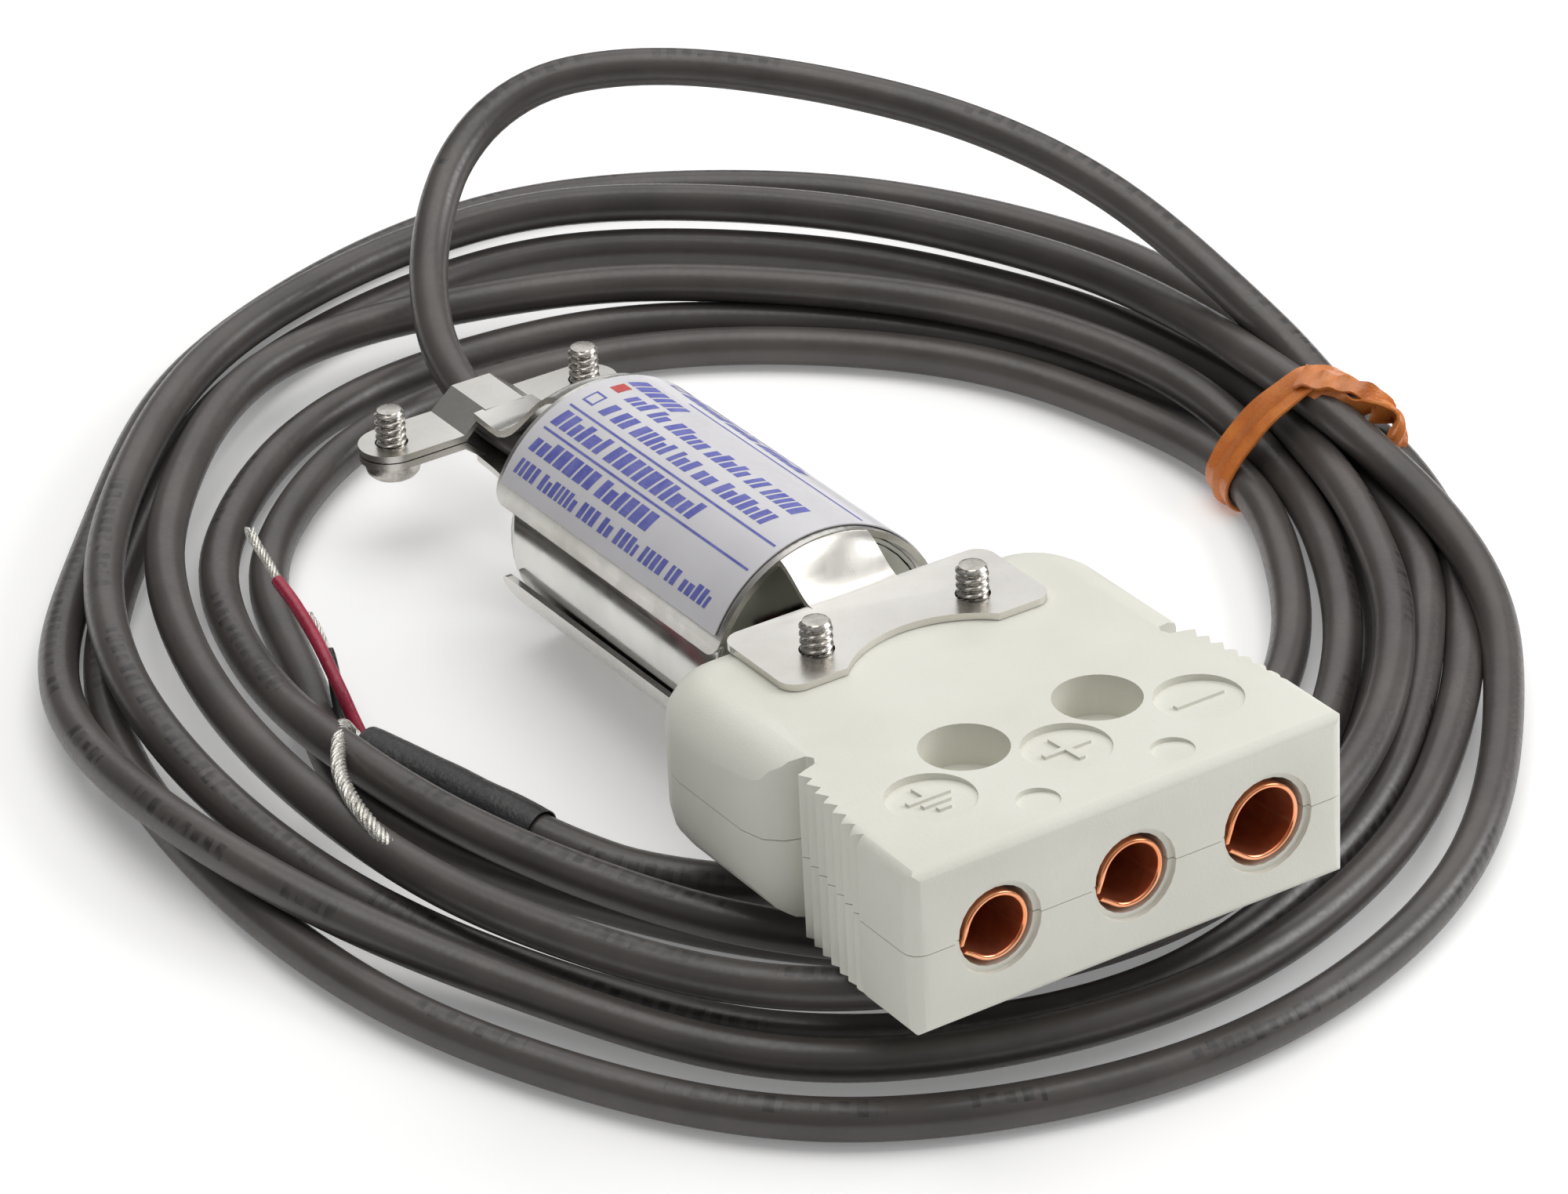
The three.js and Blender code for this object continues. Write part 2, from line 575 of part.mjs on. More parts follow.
const BARED = {
  wire_red: [[-26.5, 59.3, 2.3], [-26.6, 62, 3.6], [-26.2, 66, 6], [-24.9, 74, 8]],
  wire_red_tip: [[-24.8, 74.5, 8.1], [-24.6, 77, 8.9], [-24.5, 79.6, 9.5]],
  wire_black: [[-27.8, 59.5, 1.6], [-28, 61.6, 3.2], [-27.2, 64.2, 6.4]],
  wire_black_tip: [[-27.1, 64.6, 6.7], [-26.7, 66.6, 7.6], [-26.2, 68.8, 8.2]],
  drain_wire: [
    [-26.9, 58.9, 4.5], [-28.3, 57.9, 7.4], [-31, 54, 8.1], [-33, 48, 7.9], [-33.6, 43, 7.5],
  ],
};
const BARED_LOOKS = { wire_red: RED, wire_black: BLACK };
const INSULATED_RADIUS = 0.5;
const STRANDED_RADIUS = 0.35;
for (const [name, route] of Object.entries(BARED)) {
  const radius = name in BARED_LOOKS ? INSULATED_RADIUS : STRANDED_RADIUS;
  add(lead, name, swept(route, radius, 8, 10), BARED_LOOKS[name] ?? TIN);
}

// The coil's outer shape: a ring, longer one way than the other, pinched by its tie.
const PINCH = { width: 0.42, outer: 50.2, inner: 39.6, height: 8.7, lift: 0.85 };
const OVAL = { size: 5.3, angle: THREE.MathUtils.degToRad(66) };
const pinch = (angle) => {
  const away = Math.atan2(Math.sin(angle - TIE_ANGLE), Math.cos(angle - TIE_ANGLE));
  return Math.exp(-((away / PINCH.width) ** 2));
};

function coilRing() {
  const profile = [];
  for (let k = 0; k <= 14; k += 1) {
    const a = (k / 14) * 2 * Math.PI;
    const flat = (value) => Math.sign(value) * Math.abs(value) ** 0.75;
    profile.push(new THREE.Vector2(2 + flat(Math.cos(a)), flat(Math.sin(a))));
  }
  profile[14].copy(profile[0]);
  const ring = weld(new THREE.LatheGeometry(profile, 48));
  const p = ring.attributes.position;
  for (let k = 0; k < p.count; k += 1) {
    const angle = Math.atan2(p.getZ(k), p.getX(k));
    const across = Math.hypot(p.getX(k), p.getZ(k)) - 2;
    const squeeze = pinch(angle);
    const oval = OVAL.size * Math.cos(2 * (angle - OVAL.angle));
    const outer = THREE.MathUtils.lerp(COIL_OUTER + oval, PINCH.outer, squeeze);
    const inner = THREE.MathUtils.lerp(COIL_INNER, PINCH.inner, squeeze);
    const height = THREE.MathUtils.lerp(COIL_HEIGHT, PINCH.height, squeeze);
    const middle = height / 2 + PINCH.lift * squeeze;
    const radius = (outer + inner) / 2 + (across * (outer - inner)) / 2;
    const x = COIL_CENTRE.x + radius * Math.cos(angle);
    const y = COIL_CENTRE.y + radius * Math.sin(angle);
    p.setXYZ(k, x, y, middle + (p.getY(k) * height) / 2);
  }
  return outward(ring);
}

add(lead, 'cable_coil', coilRing(), PVC);

// ---- Twist tie: a ribbon round the coil with its ends twisted together ----
const BAND = { centre: 44.9, z: 5.2, halfWide: 5.6, halfHigh: 4.68, thick: 0.4, halfRibbon: 1.3 };
function tieBand() {
  const outline = (grow) => {
    const points = [];
    for (let k = 0; k < 36; k += 1) {
      const a = (k / 36) * 2 * Math.PI;
      const bulge = (value, size) => size * Math.sign(value) * Math.abs(value) ** 0.75;
      const side = bulge(Math.cos(a), BAND.halfWide + grow);
      const rise = bulge(Math.sin(a), BAND.halfHigh + grow);
      points.push(new THREE.Vector2(BAND.centre + side, BAND.z + rise));
    }
    return points;
  };
  const shape = new THREE.Shape(outline(BAND.thick));
  shape.holes.push(new THREE.Path(outline(0)));
  const band = alongY(shape, -BAND.halfRibbon, BAND.halfRibbon);
  const stub = box(49.9, 52.2, -0.7, 4.8, 7.3, 8.9);
  const tie = join(band, stub).subtract(solid(box(45, 49.9, 1.4, 6, 5, 12)));
  return shapeOf(tie).rotateZ(TIE_ANGLE).translate(COIL_CENTRE.x, COIL_CENTRE.y, 0);
}

add(lead, 'twist_tie', tieBand(), TIE);

// ---- Origin: on the floor, under the middle of the rigid body ----
const middle = new THREE.Box3().setFromObject(tool, true).getCenter(new THREE.Vector3());
for (const group of part.children) {
  group.position.x -= middle.x;
  group.position.y -= middle.y;
}

export default part;
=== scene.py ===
# %% [markdown]
# # Plug-in temperature transmitter on its coiled lead
# An ivory connector with three copper sockets, a plated can held between two
# stamped brackets, a cable clamp, and about two metres of grey-brown lead.
# The CAD frame gives every hard piece in its place. This lesson adds the lead's
# real turns, the screw threads, the printed film, the bared wires, the tie, and
# a surface for each material.

# %% Load the frame
import math
import random

import bmesh
import bpy
import numpy as np
from mathutils import Matrix, Vector


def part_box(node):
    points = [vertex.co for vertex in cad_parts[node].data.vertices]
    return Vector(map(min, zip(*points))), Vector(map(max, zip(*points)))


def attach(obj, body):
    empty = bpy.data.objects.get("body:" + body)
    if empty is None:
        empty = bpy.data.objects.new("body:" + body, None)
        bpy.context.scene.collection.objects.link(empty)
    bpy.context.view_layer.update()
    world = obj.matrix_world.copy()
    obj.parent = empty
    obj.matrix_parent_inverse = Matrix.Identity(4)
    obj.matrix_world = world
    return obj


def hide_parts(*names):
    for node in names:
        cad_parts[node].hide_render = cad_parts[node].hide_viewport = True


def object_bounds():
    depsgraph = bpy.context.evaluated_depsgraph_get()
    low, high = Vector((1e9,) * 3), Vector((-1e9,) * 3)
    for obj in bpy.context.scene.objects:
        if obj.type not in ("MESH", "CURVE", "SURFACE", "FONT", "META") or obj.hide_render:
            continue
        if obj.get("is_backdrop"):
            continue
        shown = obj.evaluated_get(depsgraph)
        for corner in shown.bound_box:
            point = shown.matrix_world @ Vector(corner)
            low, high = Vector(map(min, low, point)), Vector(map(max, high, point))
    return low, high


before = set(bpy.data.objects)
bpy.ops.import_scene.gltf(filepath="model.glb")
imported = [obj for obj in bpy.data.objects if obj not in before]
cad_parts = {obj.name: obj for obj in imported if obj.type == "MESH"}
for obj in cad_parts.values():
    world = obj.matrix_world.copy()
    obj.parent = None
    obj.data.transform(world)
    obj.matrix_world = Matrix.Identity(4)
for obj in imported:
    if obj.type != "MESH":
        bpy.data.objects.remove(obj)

MM = 0.001
cad_low, cad_high = [list(corner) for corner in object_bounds()]
print("CAD box, mm:", [round((h - l) / MM, 1) for l, h in zip(cad_low, cad_high)])

# %% [markdown]
# ## Two frames of reference
# The connector and the can are easiest to think of lying flat, with the middle
# socket's mouth at the origin. On the floor they lean nose up on the coil, so
# one matrix carries points from that flat frame to the row's own frame. The
# lead lies on the floor, so its points only need the same shift along Y.

# %% Frames
TILT = math.radians(5.6)
SHELL_RADIUS = 10.0
SHELL_END = 68.5
LIFT = SHELL_END * math.sin(TILT) + SHELL_RADIUS * math.cos(TILT)
NOSE_EDGE = 5.35  # how far the nose's flat face reaches below the parting line

nose_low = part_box("connector_bottom_half")[0]
SHIFT_Y = nose_low[1] / MM + NOSE_EDGE * math.sin(TILT)

TOOL = (
    Matrix.Translation((0, SHIFT_Y * MM, LIFT * MM))
    @ Matrix.Rotation(-TILT, 4, "X")
    @ Matrix.Scale(MM, 4)
)


def on_floor(points):
    """Lead points in millimetres, carried to the row frame in metres."""
    moved = np.array(points, float)
    moved[:, 1] += SHIFT_Y
    return moved * MM


print("shift along Y, mm:", round(SHIFT_Y, 3), " lift:", round(LIFT, 3))

# %% [markdown]
# ## Camera
# A long lens from the front left, a third of the way up, keeps the turns of the
# coil nearly as thick at the back as at the front.

# %% Camera
CAMERA_AT = Vector((-207.95, -272.65 + SHIFT_Y, 265.21)) * MM
LOOK = Vector((0.45848, 0.69658, -0.55188))
ROLL = math.radians(0.555)
FOCAL_LENGTH, SENSOR_WIDTH = 144, 36

lens = bpy.data.cameras.new("view_lens")
lens.lens = FOCAL_LENGTH
lens.sensor_width = SENSOR_WIDTH
lens.clip_start = 0.01
camera = bpy.data.objects.new("view", lens)
bpy.context.scene.collection.objects.link(camera)
aim = LOOK.to_track_quat("-Z", "Y").to_matrix().to_4x4()
camera.matrix_world = Matrix.Translation(CAMERA_AT) @ aim @ Matrix.Rotation(ROLL, 4, "Z")
bpy.context.scene.camera = camera
print("camera at, mm:", [round(v / MM, 1) for v in CAMERA_AT])

# %% [markdown]
# ## The lead's centreline
# The real lead is one length of flexible cable: out of the can, through the
# clamp, up and over in a free loop, then a little over six turns held by one tie.
# A formula such as a spiral would look machined. So each turn has its own
# distance from the coil's centre and its own height at fifteen stations, and a
# relaxation lets neighbouring stretches push each other apart until no two are
# closer than a diameter, as they do when a coil is dropped on a bench.

# %% Where the lead lies
CABLE = 3.1  # outside diameter
COIL_CENTRE = (10.0, 60.0)
TIE_ANGLE = -8.0

LOOP_ROUTE = [
    (0, 68, 10), (0, 77, 9.1), (0, 86.4, 8.2), (1.5, 95, 8.8), (4.4, 101.8, 10.4),
    (8.1, 107.1, 12.6), (12.3, 110.9, 14.9), (17, 112.9, 16.9), (22.1, 113, 18.3),
    (27.5, 111.3, 18.8), (33, 108.1, 18.8), (38.5, 103.6, 18.4), (43.7, 98.3, 17.8),
    (48.3, 92.4, 17), (52.1, 86, 15.8), (55.2, 79.3, 14), (57.3, 72.4, 11.6),
    (58.6, 66, 9.3),
]
TAIL_ROUTE = [
    (-3.8, 25.8, 1.7), (-11.6, 29.9, 1.9), (-17.4, 35.6, 1.95), (-20.4, 41.6, 1.95),
    (-21.4, 44.6, 1.95), (-23.4, 50.6, 1.95), (-26, 58.4, 1.95),
]

# How far round from the tie each station is, in degrees, the way the lead is wound.
STATIONS = [0, 17, 37, 62, 87, 112, 137, 162, 187, 212, 242, 272, 297, 322, 344]
# For each turn, the distance from the coil's centre and the height at each station.
TURN_RADII = [
    [49.0, 51.9, 52.3, 55.5, 59.3, 59.0, 53.6, 54.0, 54.8, 52.8, 57.5, 63.2, 62.8, 58.8, 53.0],
    [48.5, 49.7, 49.8, 52.0, 55.0, 54.3, 49.8, 49.0, 50.2, 50.8, 54.1, 56.8, 54.0, 50.6, 47.0],
    [46.2, 50.9, 55.5, 60.4, 63.6, 63.6, 58.4, 53.6, 51.6, 49.6, 52.5, 55.0, 52.4, 49.6, 47.2],
    [45.4, 45.3, 47.4, 51.0, 56.5, 56.0, 49.6, 45.2, 44.9, 46.6, 49.5, 44.8, 41.9, 41.8, 42.9],
    [43.4, 42.7, 43.5, 46.5, 50.5, 46.0, 41.2, 39.6, 40.4, 42.6, 44.0, 42.6, 41.2, 41.8, 43.8],
    [46.3, 45.8, 46.4, 47.5, 48.0, 43.5, 40.2, 40.0, 36.6, 38.9, 39.6, 37.9, 37.4, 38.5, 39.3],
    [40.3, 39.4, 39.4, 39.8, 38.9],
]
TURN_HEIGHTS = [
    [6.6, 3.6, 3.0, 3.0, 3.8, 3.2, 3.4, 4.8, 3.0, 1.7, 1.7, 1.7, 1.7, 2.4, 3.4],
    [3.5, 3.6, 3.4, 2.5, 1.7, 1.7, 1.7, 3.0, 5.0, 5.0, 5.0, 5.0, 5.0, 5.4, 7.0],
    [8.0, 5.6, 3.2, 1.7, 1.7, 1.7, 1.7, 1.7, 1.7, 1.7, 1.7, 1.7, 1.7, 2.0, 3.4],
    [5.0, 5.8, 5.6, 6.6, 8.2, 7.0, 5.8, 5.0, 5.0, 5.0, 4.6, 4.6, 4.6, 4.6, 4.0],
    [2.7, 3.4, 3.4, 3.6, 4.0, 4.2, 4.4, 4.6, 3.6, 2.6, 1.8, 1.7, 1.7, 1.7, 1.7],
    [1.7, 1.7, 1.7, 1.7, 1.7, 1.7, 1.7, 1.7, 1.7, 1.7, 1.7, 1.7, 1.7, 1.7, 1.8],
    [2.2, 2.4, 2.2, 1.9, 1.7],
]


def coil_points():
    """The stations of every turn, as points in millimetres."""
    points = []
    for radii, heights in zip(TURN_RADII, TURN_HEIGHTS):
        for travel, radius, height in zip(STATIONS, radii, heights):
            angle = math.radians(TIE_ANGLE - travel)
            x = COIL_CENTRE[0] + radius * math.cos(angle)
            y = COIL_CENTRE[1] + radius * math.sin(angle)
            points.append((x, y, height))
    return points


def smooth_line(points, spacing):
    """A cubic through the points, resampled to even steps of about the spacing."""
    p = np.array(points, float)
    along = np.r_[0, np.cumsum(np.linalg.norm(np.diff(p, axis=0), axis=1))]
    slope = np.empty_like(p)
    slope[1:-1] = (p[2:] - p[:-2]) / (along[2:] - along[:-2])[:, None]
    slope[0] = (p[1] - p[0]) / along[1]
    slope[-1] = (p[-1] - p[-2]) / (along[-1] - along[-2])
    fine = np.linspace(0, along[-1], 12 * len(p))
    k = np.clip(np.searchsorted(along, fine, side="right") - 1, 0, len(p) - 2)
    step = (along[k + 1] - along[k])[:, None]
    t = (fine - along[k])[:, None] / step
    line = (2 * t**3 - 3 * t**2 + 1) * p[k] + (t**3 - 2 * t**2 + t) * step * slope[k]
    line += (-2 * t**3 + 3 * t**2) * p[k + 1] + (t**3 - t**2) * step * slope[k + 1]
    length = np.r_[0, np.cumsum(np.linalg.norm(np.diff(line, axis=0), axis=1))]
    even = np.linspace(0, length[-1], int(length[-1] / spacing) + 1)
    return np.column_stack([np.interp(even, length, line[:, axis]) for axis in range(3)])


LEAD_SPACING = 2.6  # between points while the turns settle
drawn = smooth_line(LOOP_ROUTE + coil_points() + TAIL_ROUTE, LEAD_SPACING)
print("points along the lead:", len(drawn))

# %% [markdown]
# ## Let the turns settle
# As drawn, some turns would pass through each other. A rigid body or cloth
# run could sort them out, but a lead of two metres takes a long time to come to
# rest. Here each point that is too close to another stretch is pushed away, the
# bends are evened out, and a weak pull keeps the lead near the route as drawn.

# %% Let the turns settle
HELD_HEAD = 40  # points of the free loop, which stay as drawn
HELD_TAIL = 14
CLEARANCE = CABLE + 0.04
NEIGHBOURS = 8  # points this near along the lead may be closer than a diameter
ROUNDS = 160
EASED_ROUNDS = 30  # the last rounds, when the pull is weaker
PULL, EASED_PULL = 0.05, 0.01
STRAIGHTEN = 0.6


def settled(target):
    """Pushes close stretches apart, keeps the bends even and stays on the floor."""
    line = target.copy()
    count = len(line)
    first, second = np.triu_indices(count, NEIGHBOURS)
    free = np.zeros(count, bool)
    free[HELD_HEAD:-HELD_TAIL] = True
    for turn in range(ROUNDS):
        apart = line[first] - line[second]
        near = (np.abs(apart) < CLEARANCE).all(axis=1)
        a, b, apart = first[near], second[near], apart[near]
        distance = np.linalg.norm(apart, axis=1)
        hit = distance < CLEARANCE
        a, b, apart, distance = a[hit], b[hit], apart[hit], distance[hit]
        push = apart / np.maximum(distance, 1e-6)[:, None]
        push *= ((CLEARANCE - distance) / 2)[:, None]
        move = np.zeros_like(line)
        contacts = np.zeros(count)
        np.add.at(move, a, push)
        np.add.at(move, b, -push)
        np.add.at(contacts, a, 1)
        np.add.at(contacts, b, 1)
        move /= np.maximum(1, contacts * 0.6)[:, None]
        bend = np.zeros_like(line)
        inner = 4 * (line[1:-3] + line[3:-1]) - line[:-4] - line[4:] - 6 * line[2:-2]
        bend[2:-2] = inner / 16
        pull = (PULL if turn < ROUNDS - EASED_ROUNDS else EASED_PULL) * (target - line)
        line = line + np.where(free[:, None], move + pull + STRAIGHTEN * bend, 0)
        line[:, 2] = np.where(free, np.maximum(line[:, 2], CABLE / 2 + 0.02), line[:, 2])
    return line


lead_line = settled(drawn)
lead_length = np.linalg.norm(np.diff(lead_line, axis=0), axis=1).sum()
print("lead length, mm:", round(lead_length, 1))
print("largest move while settling, mm:", round(np.abs(lead_line - drawn).max(), 2))

# %% [markdown]
# ## Shared surface effects
# Most of these finishes share a few effects: a soft cloudiness of colour, fine
# speckle, and long scratches. Each is a shader node group with named inputs,
# built once, so that every material can place it with its own scale. The
# groups give out only masks and heights; the shader itself stays in each
# material.

# %% Node helpers
SKIN = {}  # materials by name


def node(tree, kind, at, **settings):
    """Adds a node, sets its properties, and fills sockets given by name or index."""
    made = tree.nodes.new(kind)
    made.location = at
    sockets = settings.pop("inputs", {})
    for key, value in settings.items():
        setattr(made, key, value)
    for key, value in sockets.items():
        made.inputs[key].default_value = value
    return made


def join(tree, source, output, target, socket):
    tree.links.new(source.outputs[output], target.inputs[socket])


def effect(name, inputs, outputs):
    """An empty shader node group with float inputs (name: default) and outputs."""
    tree = bpy.data.node_groups.new(name, "ShaderNodeTree")
    for title, value in inputs.items():
        socket = tree.interface.new_socket(title, in_out="INPUT", socket_type="NodeSocketFloat")
        socket.default_value = value
    for title in outputs:
        tree.interface.new_socket(title, in_out="OUTPUT", socket_type="NodeSocketFloat")
    return tree, node(tree, "NodeGroupInput", (-900, 0)), node(tree, "NodeGroupOutput", (500, 0))


print("node helpers ready; materials so far:", len(SKIN))

# %% [markdown]
# ## Cloud and speckle
# No moulding, plating or plastic is quite one colour. Painted variation would
# need a picture, and a picture needs a map for every piece. Noise in object
# space needs neither, and its size is given in millimetres, so that the same
# group suits a wire and a connector.

# %% Effect: cloudy variation and speckle
def make_cloud():
    """Slow and fine noise over the surface, in object space, in millimetres."""
    tree, given, out = effect("cloud", {"Size mm": 5.0, "Speckle mm": 0.4}, ["Cloud", "Speckle"])
    place = node(tree, "ShaderNodeTexCoord", (-900, -220))
    layers = [("Size mm", "Cloud", 4), ("Speckle mm", "Speckle", 3)]
    for row, (title, result, detail) in enumerate(layers):
        level = -200 * row
        scale = node(tree, "ShaderNodeMath", (-650, level), operation="DIVIDE", inputs={0: 1 / MM})
        join(tree, given, title, scale, 1)
        noise = node(tree, "ShaderNodeTexNoise", (-420, level), inputs={"Detail": detail})
        join(tree, place, "Object", noise, "Vector")
        join(tree, scale, 0, noise, "Scale")
        spread = node(tree, "ShaderNodeMapRange", (-180, level), inputs={1: 0.35, 2: 0.65})
        join(tree, noise, "Fac", spread, 0)
        join(tree, spread, 0, out, result)
    return tree


CLOUD = make_cloud()
print("group:", CLOUD.name, " nodes:", len(CLOUD.nodes))

# %% [markdown]
# ## Scratches
# Sheet metal and drawn tube carry fine lines along the way they were worked,
# here the Y axis. Stretched noise gives such lines, and a second, slow noise
# says where they show, since handling doesn't mark a surface evenly.

# %% Effect: fine scratches along one axis
def make_scratches():
    """Thin lines drawn out along Y, broken up so that they come and go."""
    tree, given, out = effect("scratches", {"Spacing mm": 0.3, "Length": 30.0}, ["Line", "Patch"])
    place = node(tree, "ShaderNodeTexCoord", (-1100, -200))
    scale = node(tree, "ShaderNodeMath", (-850, 0), operation="DIVIDE", inputs={0: 1 / MM})
    join(tree, given, "Spacing mm", scale, 1)
    along = node(tree, "ShaderNodeMath", (-850, -180), operation="DIVIDE")
    join(tree, scale, 0, along, 0)
    join(tree, given, "Length", along, 1)
    stretch = node(tree, "ShaderNodeCombineXYZ", (-640, -60))
    join(tree, scale, 0, stretch, "X")
    join(tree, along, 0, stretch, "Y")
    join(tree, scale, 0, stretch, "Z")
    drawn_out = node(tree, "ShaderNodeVectorMath", (-440, -60), operation="MULTIPLY")
    join(tree, place, "Object", drawn_out, 0)
    join(tree, stretch, 0, drawn_out, 1)
    lines = node(tree, "ShaderNodeTexNoise", (-220, 0), inputs={"Scale": 1.0, "Detail": 2.0})
    join(tree, drawn_out, 0, lines, "Vector")
    thin = node(tree, "ShaderNodeMapRange", (0, 0), inputs={1: 0.48, 2: 0.7})
    join(tree, lines, "Fac", thin, 0)
    patch = node(tree, "ShaderNodeTexNoise", (-220, -260), inputs={"Scale": 140.0, "Detail": 2.0})
    join(tree, place, "Object", patch, "Vector")
    spread = node(tree, "ShaderNodeMapRange", (0, -260), inputs={1: 0.4, 2: 0.62})
    join(tree, patch, "Fac", spread, 0)
    join(tree, thin, 0, out, "Line")
    join(tree, spread, 0, out, "Patch")
    return tree


SCRATCHES = make_scratches()
print("group:", SCRATCHES.name, " nodes:", len(SCRATCHES.nodes))

# %% [markdown]
# ## One recipe for every finish
# Each finish mixes a lighter and a darker tone by the cloud, and lets the
# speckle change its roughness and dent it slightly. The values that are the
# same all over, such as metal or coat, are set on the shader itself.

# %% A material from two tones and these effects
def surface(
    name, light, dark, roughness, metal=0.0, size=5.0, speckle=0.4, bump=0.02,
    scratch=0.0, spacing=0.25, rough_spread=0.08, coat=0.0, specular=0.5,
):
    """Mixes two tones by the cloud, roughens and dents by the speckle and scratches."""
    made = bpy.data.materials.new(name)
    made.use_nodes = True
    tree = made.node_tree
    shader = tree.nodes["Principled BSDF"]
    shader.inputs["Metallic"].default_value = metal
    shader.inputs["Coat Weight"].default_value = coat
    shader.inputs["Specular IOR Level"].default_value = specular
    cloud = node(tree, "ShaderNodeGroup", (-900, 200), node_tree=CLOUD)
    cloud.inputs["Size mm"].default_value = size
    cloud.inputs["Speckle mm"].default_value = speckle
    tones = node(tree, "ShaderNodeMix", (-500, 300), data_type="RGBA", label="tones")
    tones.inputs["A"].default_value = (*light, 1)
    tones.inputs["B"].default_value = (*dark, 1)
    join(tree, cloud, "Cloud", tones, "Factor")
    tree.links.new(tones.outputs["Result"], shader.inputs["Base Color"])
    rough = node(tree, "ShaderNodeMapRange", (-500, 60), label="roughness")
    rough.inputs[3].default_value = roughness - rough_spread
    rough.inputs[4].default_value = roughness + rough_spread
    join(tree, cloud, "Speckle", rough, 0)
    join(tree, rough, 0, shader, "Roughness")
    height = node(tree, "ShaderNodeMath", (-500, -180), operation="MULTIPLY_ADD", label="height")
    join(tree, cloud, "Speckle", height, 0)
    height.inputs[1].default_value = 1.0
    if scratch:
        marks = node(tree, "ShaderNodeGroup", (-900, -200), node_tree=SCRATCHES)
        marks.inputs["Spacing mm"].default_value = spacing
        deep = node(tree, "ShaderNodeMath", (-700, -260), operation="MULTIPLY")
        join(tree, marks, "Line", deep, 0)
        join(tree, marks, "Patch", deep, 1)
        weigh = node(
            tree, "ShaderNodeMath", (-600, -360), operation="MULTIPLY", inputs={1: -scratch},
        )
        join(tree, deep, 0, weigh, 0)
        join(tree, weigh, 0, height, 2)
    else:
        height.inputs[2].default_value = 0.0
    dents = node(tree, "ShaderNodeBump", (-240, -180), label="dents")
    dents.inputs["Strength"].default_value = 1.0
    dents.inputs["Distance"].default_value = bump * MM
    join(tree, height, 0, dents, "Height")
    join(tree, dents, 0, shader, "Normal")
    SKIN[name] = made
    return made


print("each finish can use:", CLOUD.name, "and", SCRATCHES.name)

# %% [markdown]
# ## Finishes
# The connector is a warm white moulding, nearly matt. The brackets are tumbled
# stainless sheet, duller than the drawn can. The sockets are bright copper
# alloy that has started to brown. Two close tones for each are enough to stop
# a surface from looking like flat paint.

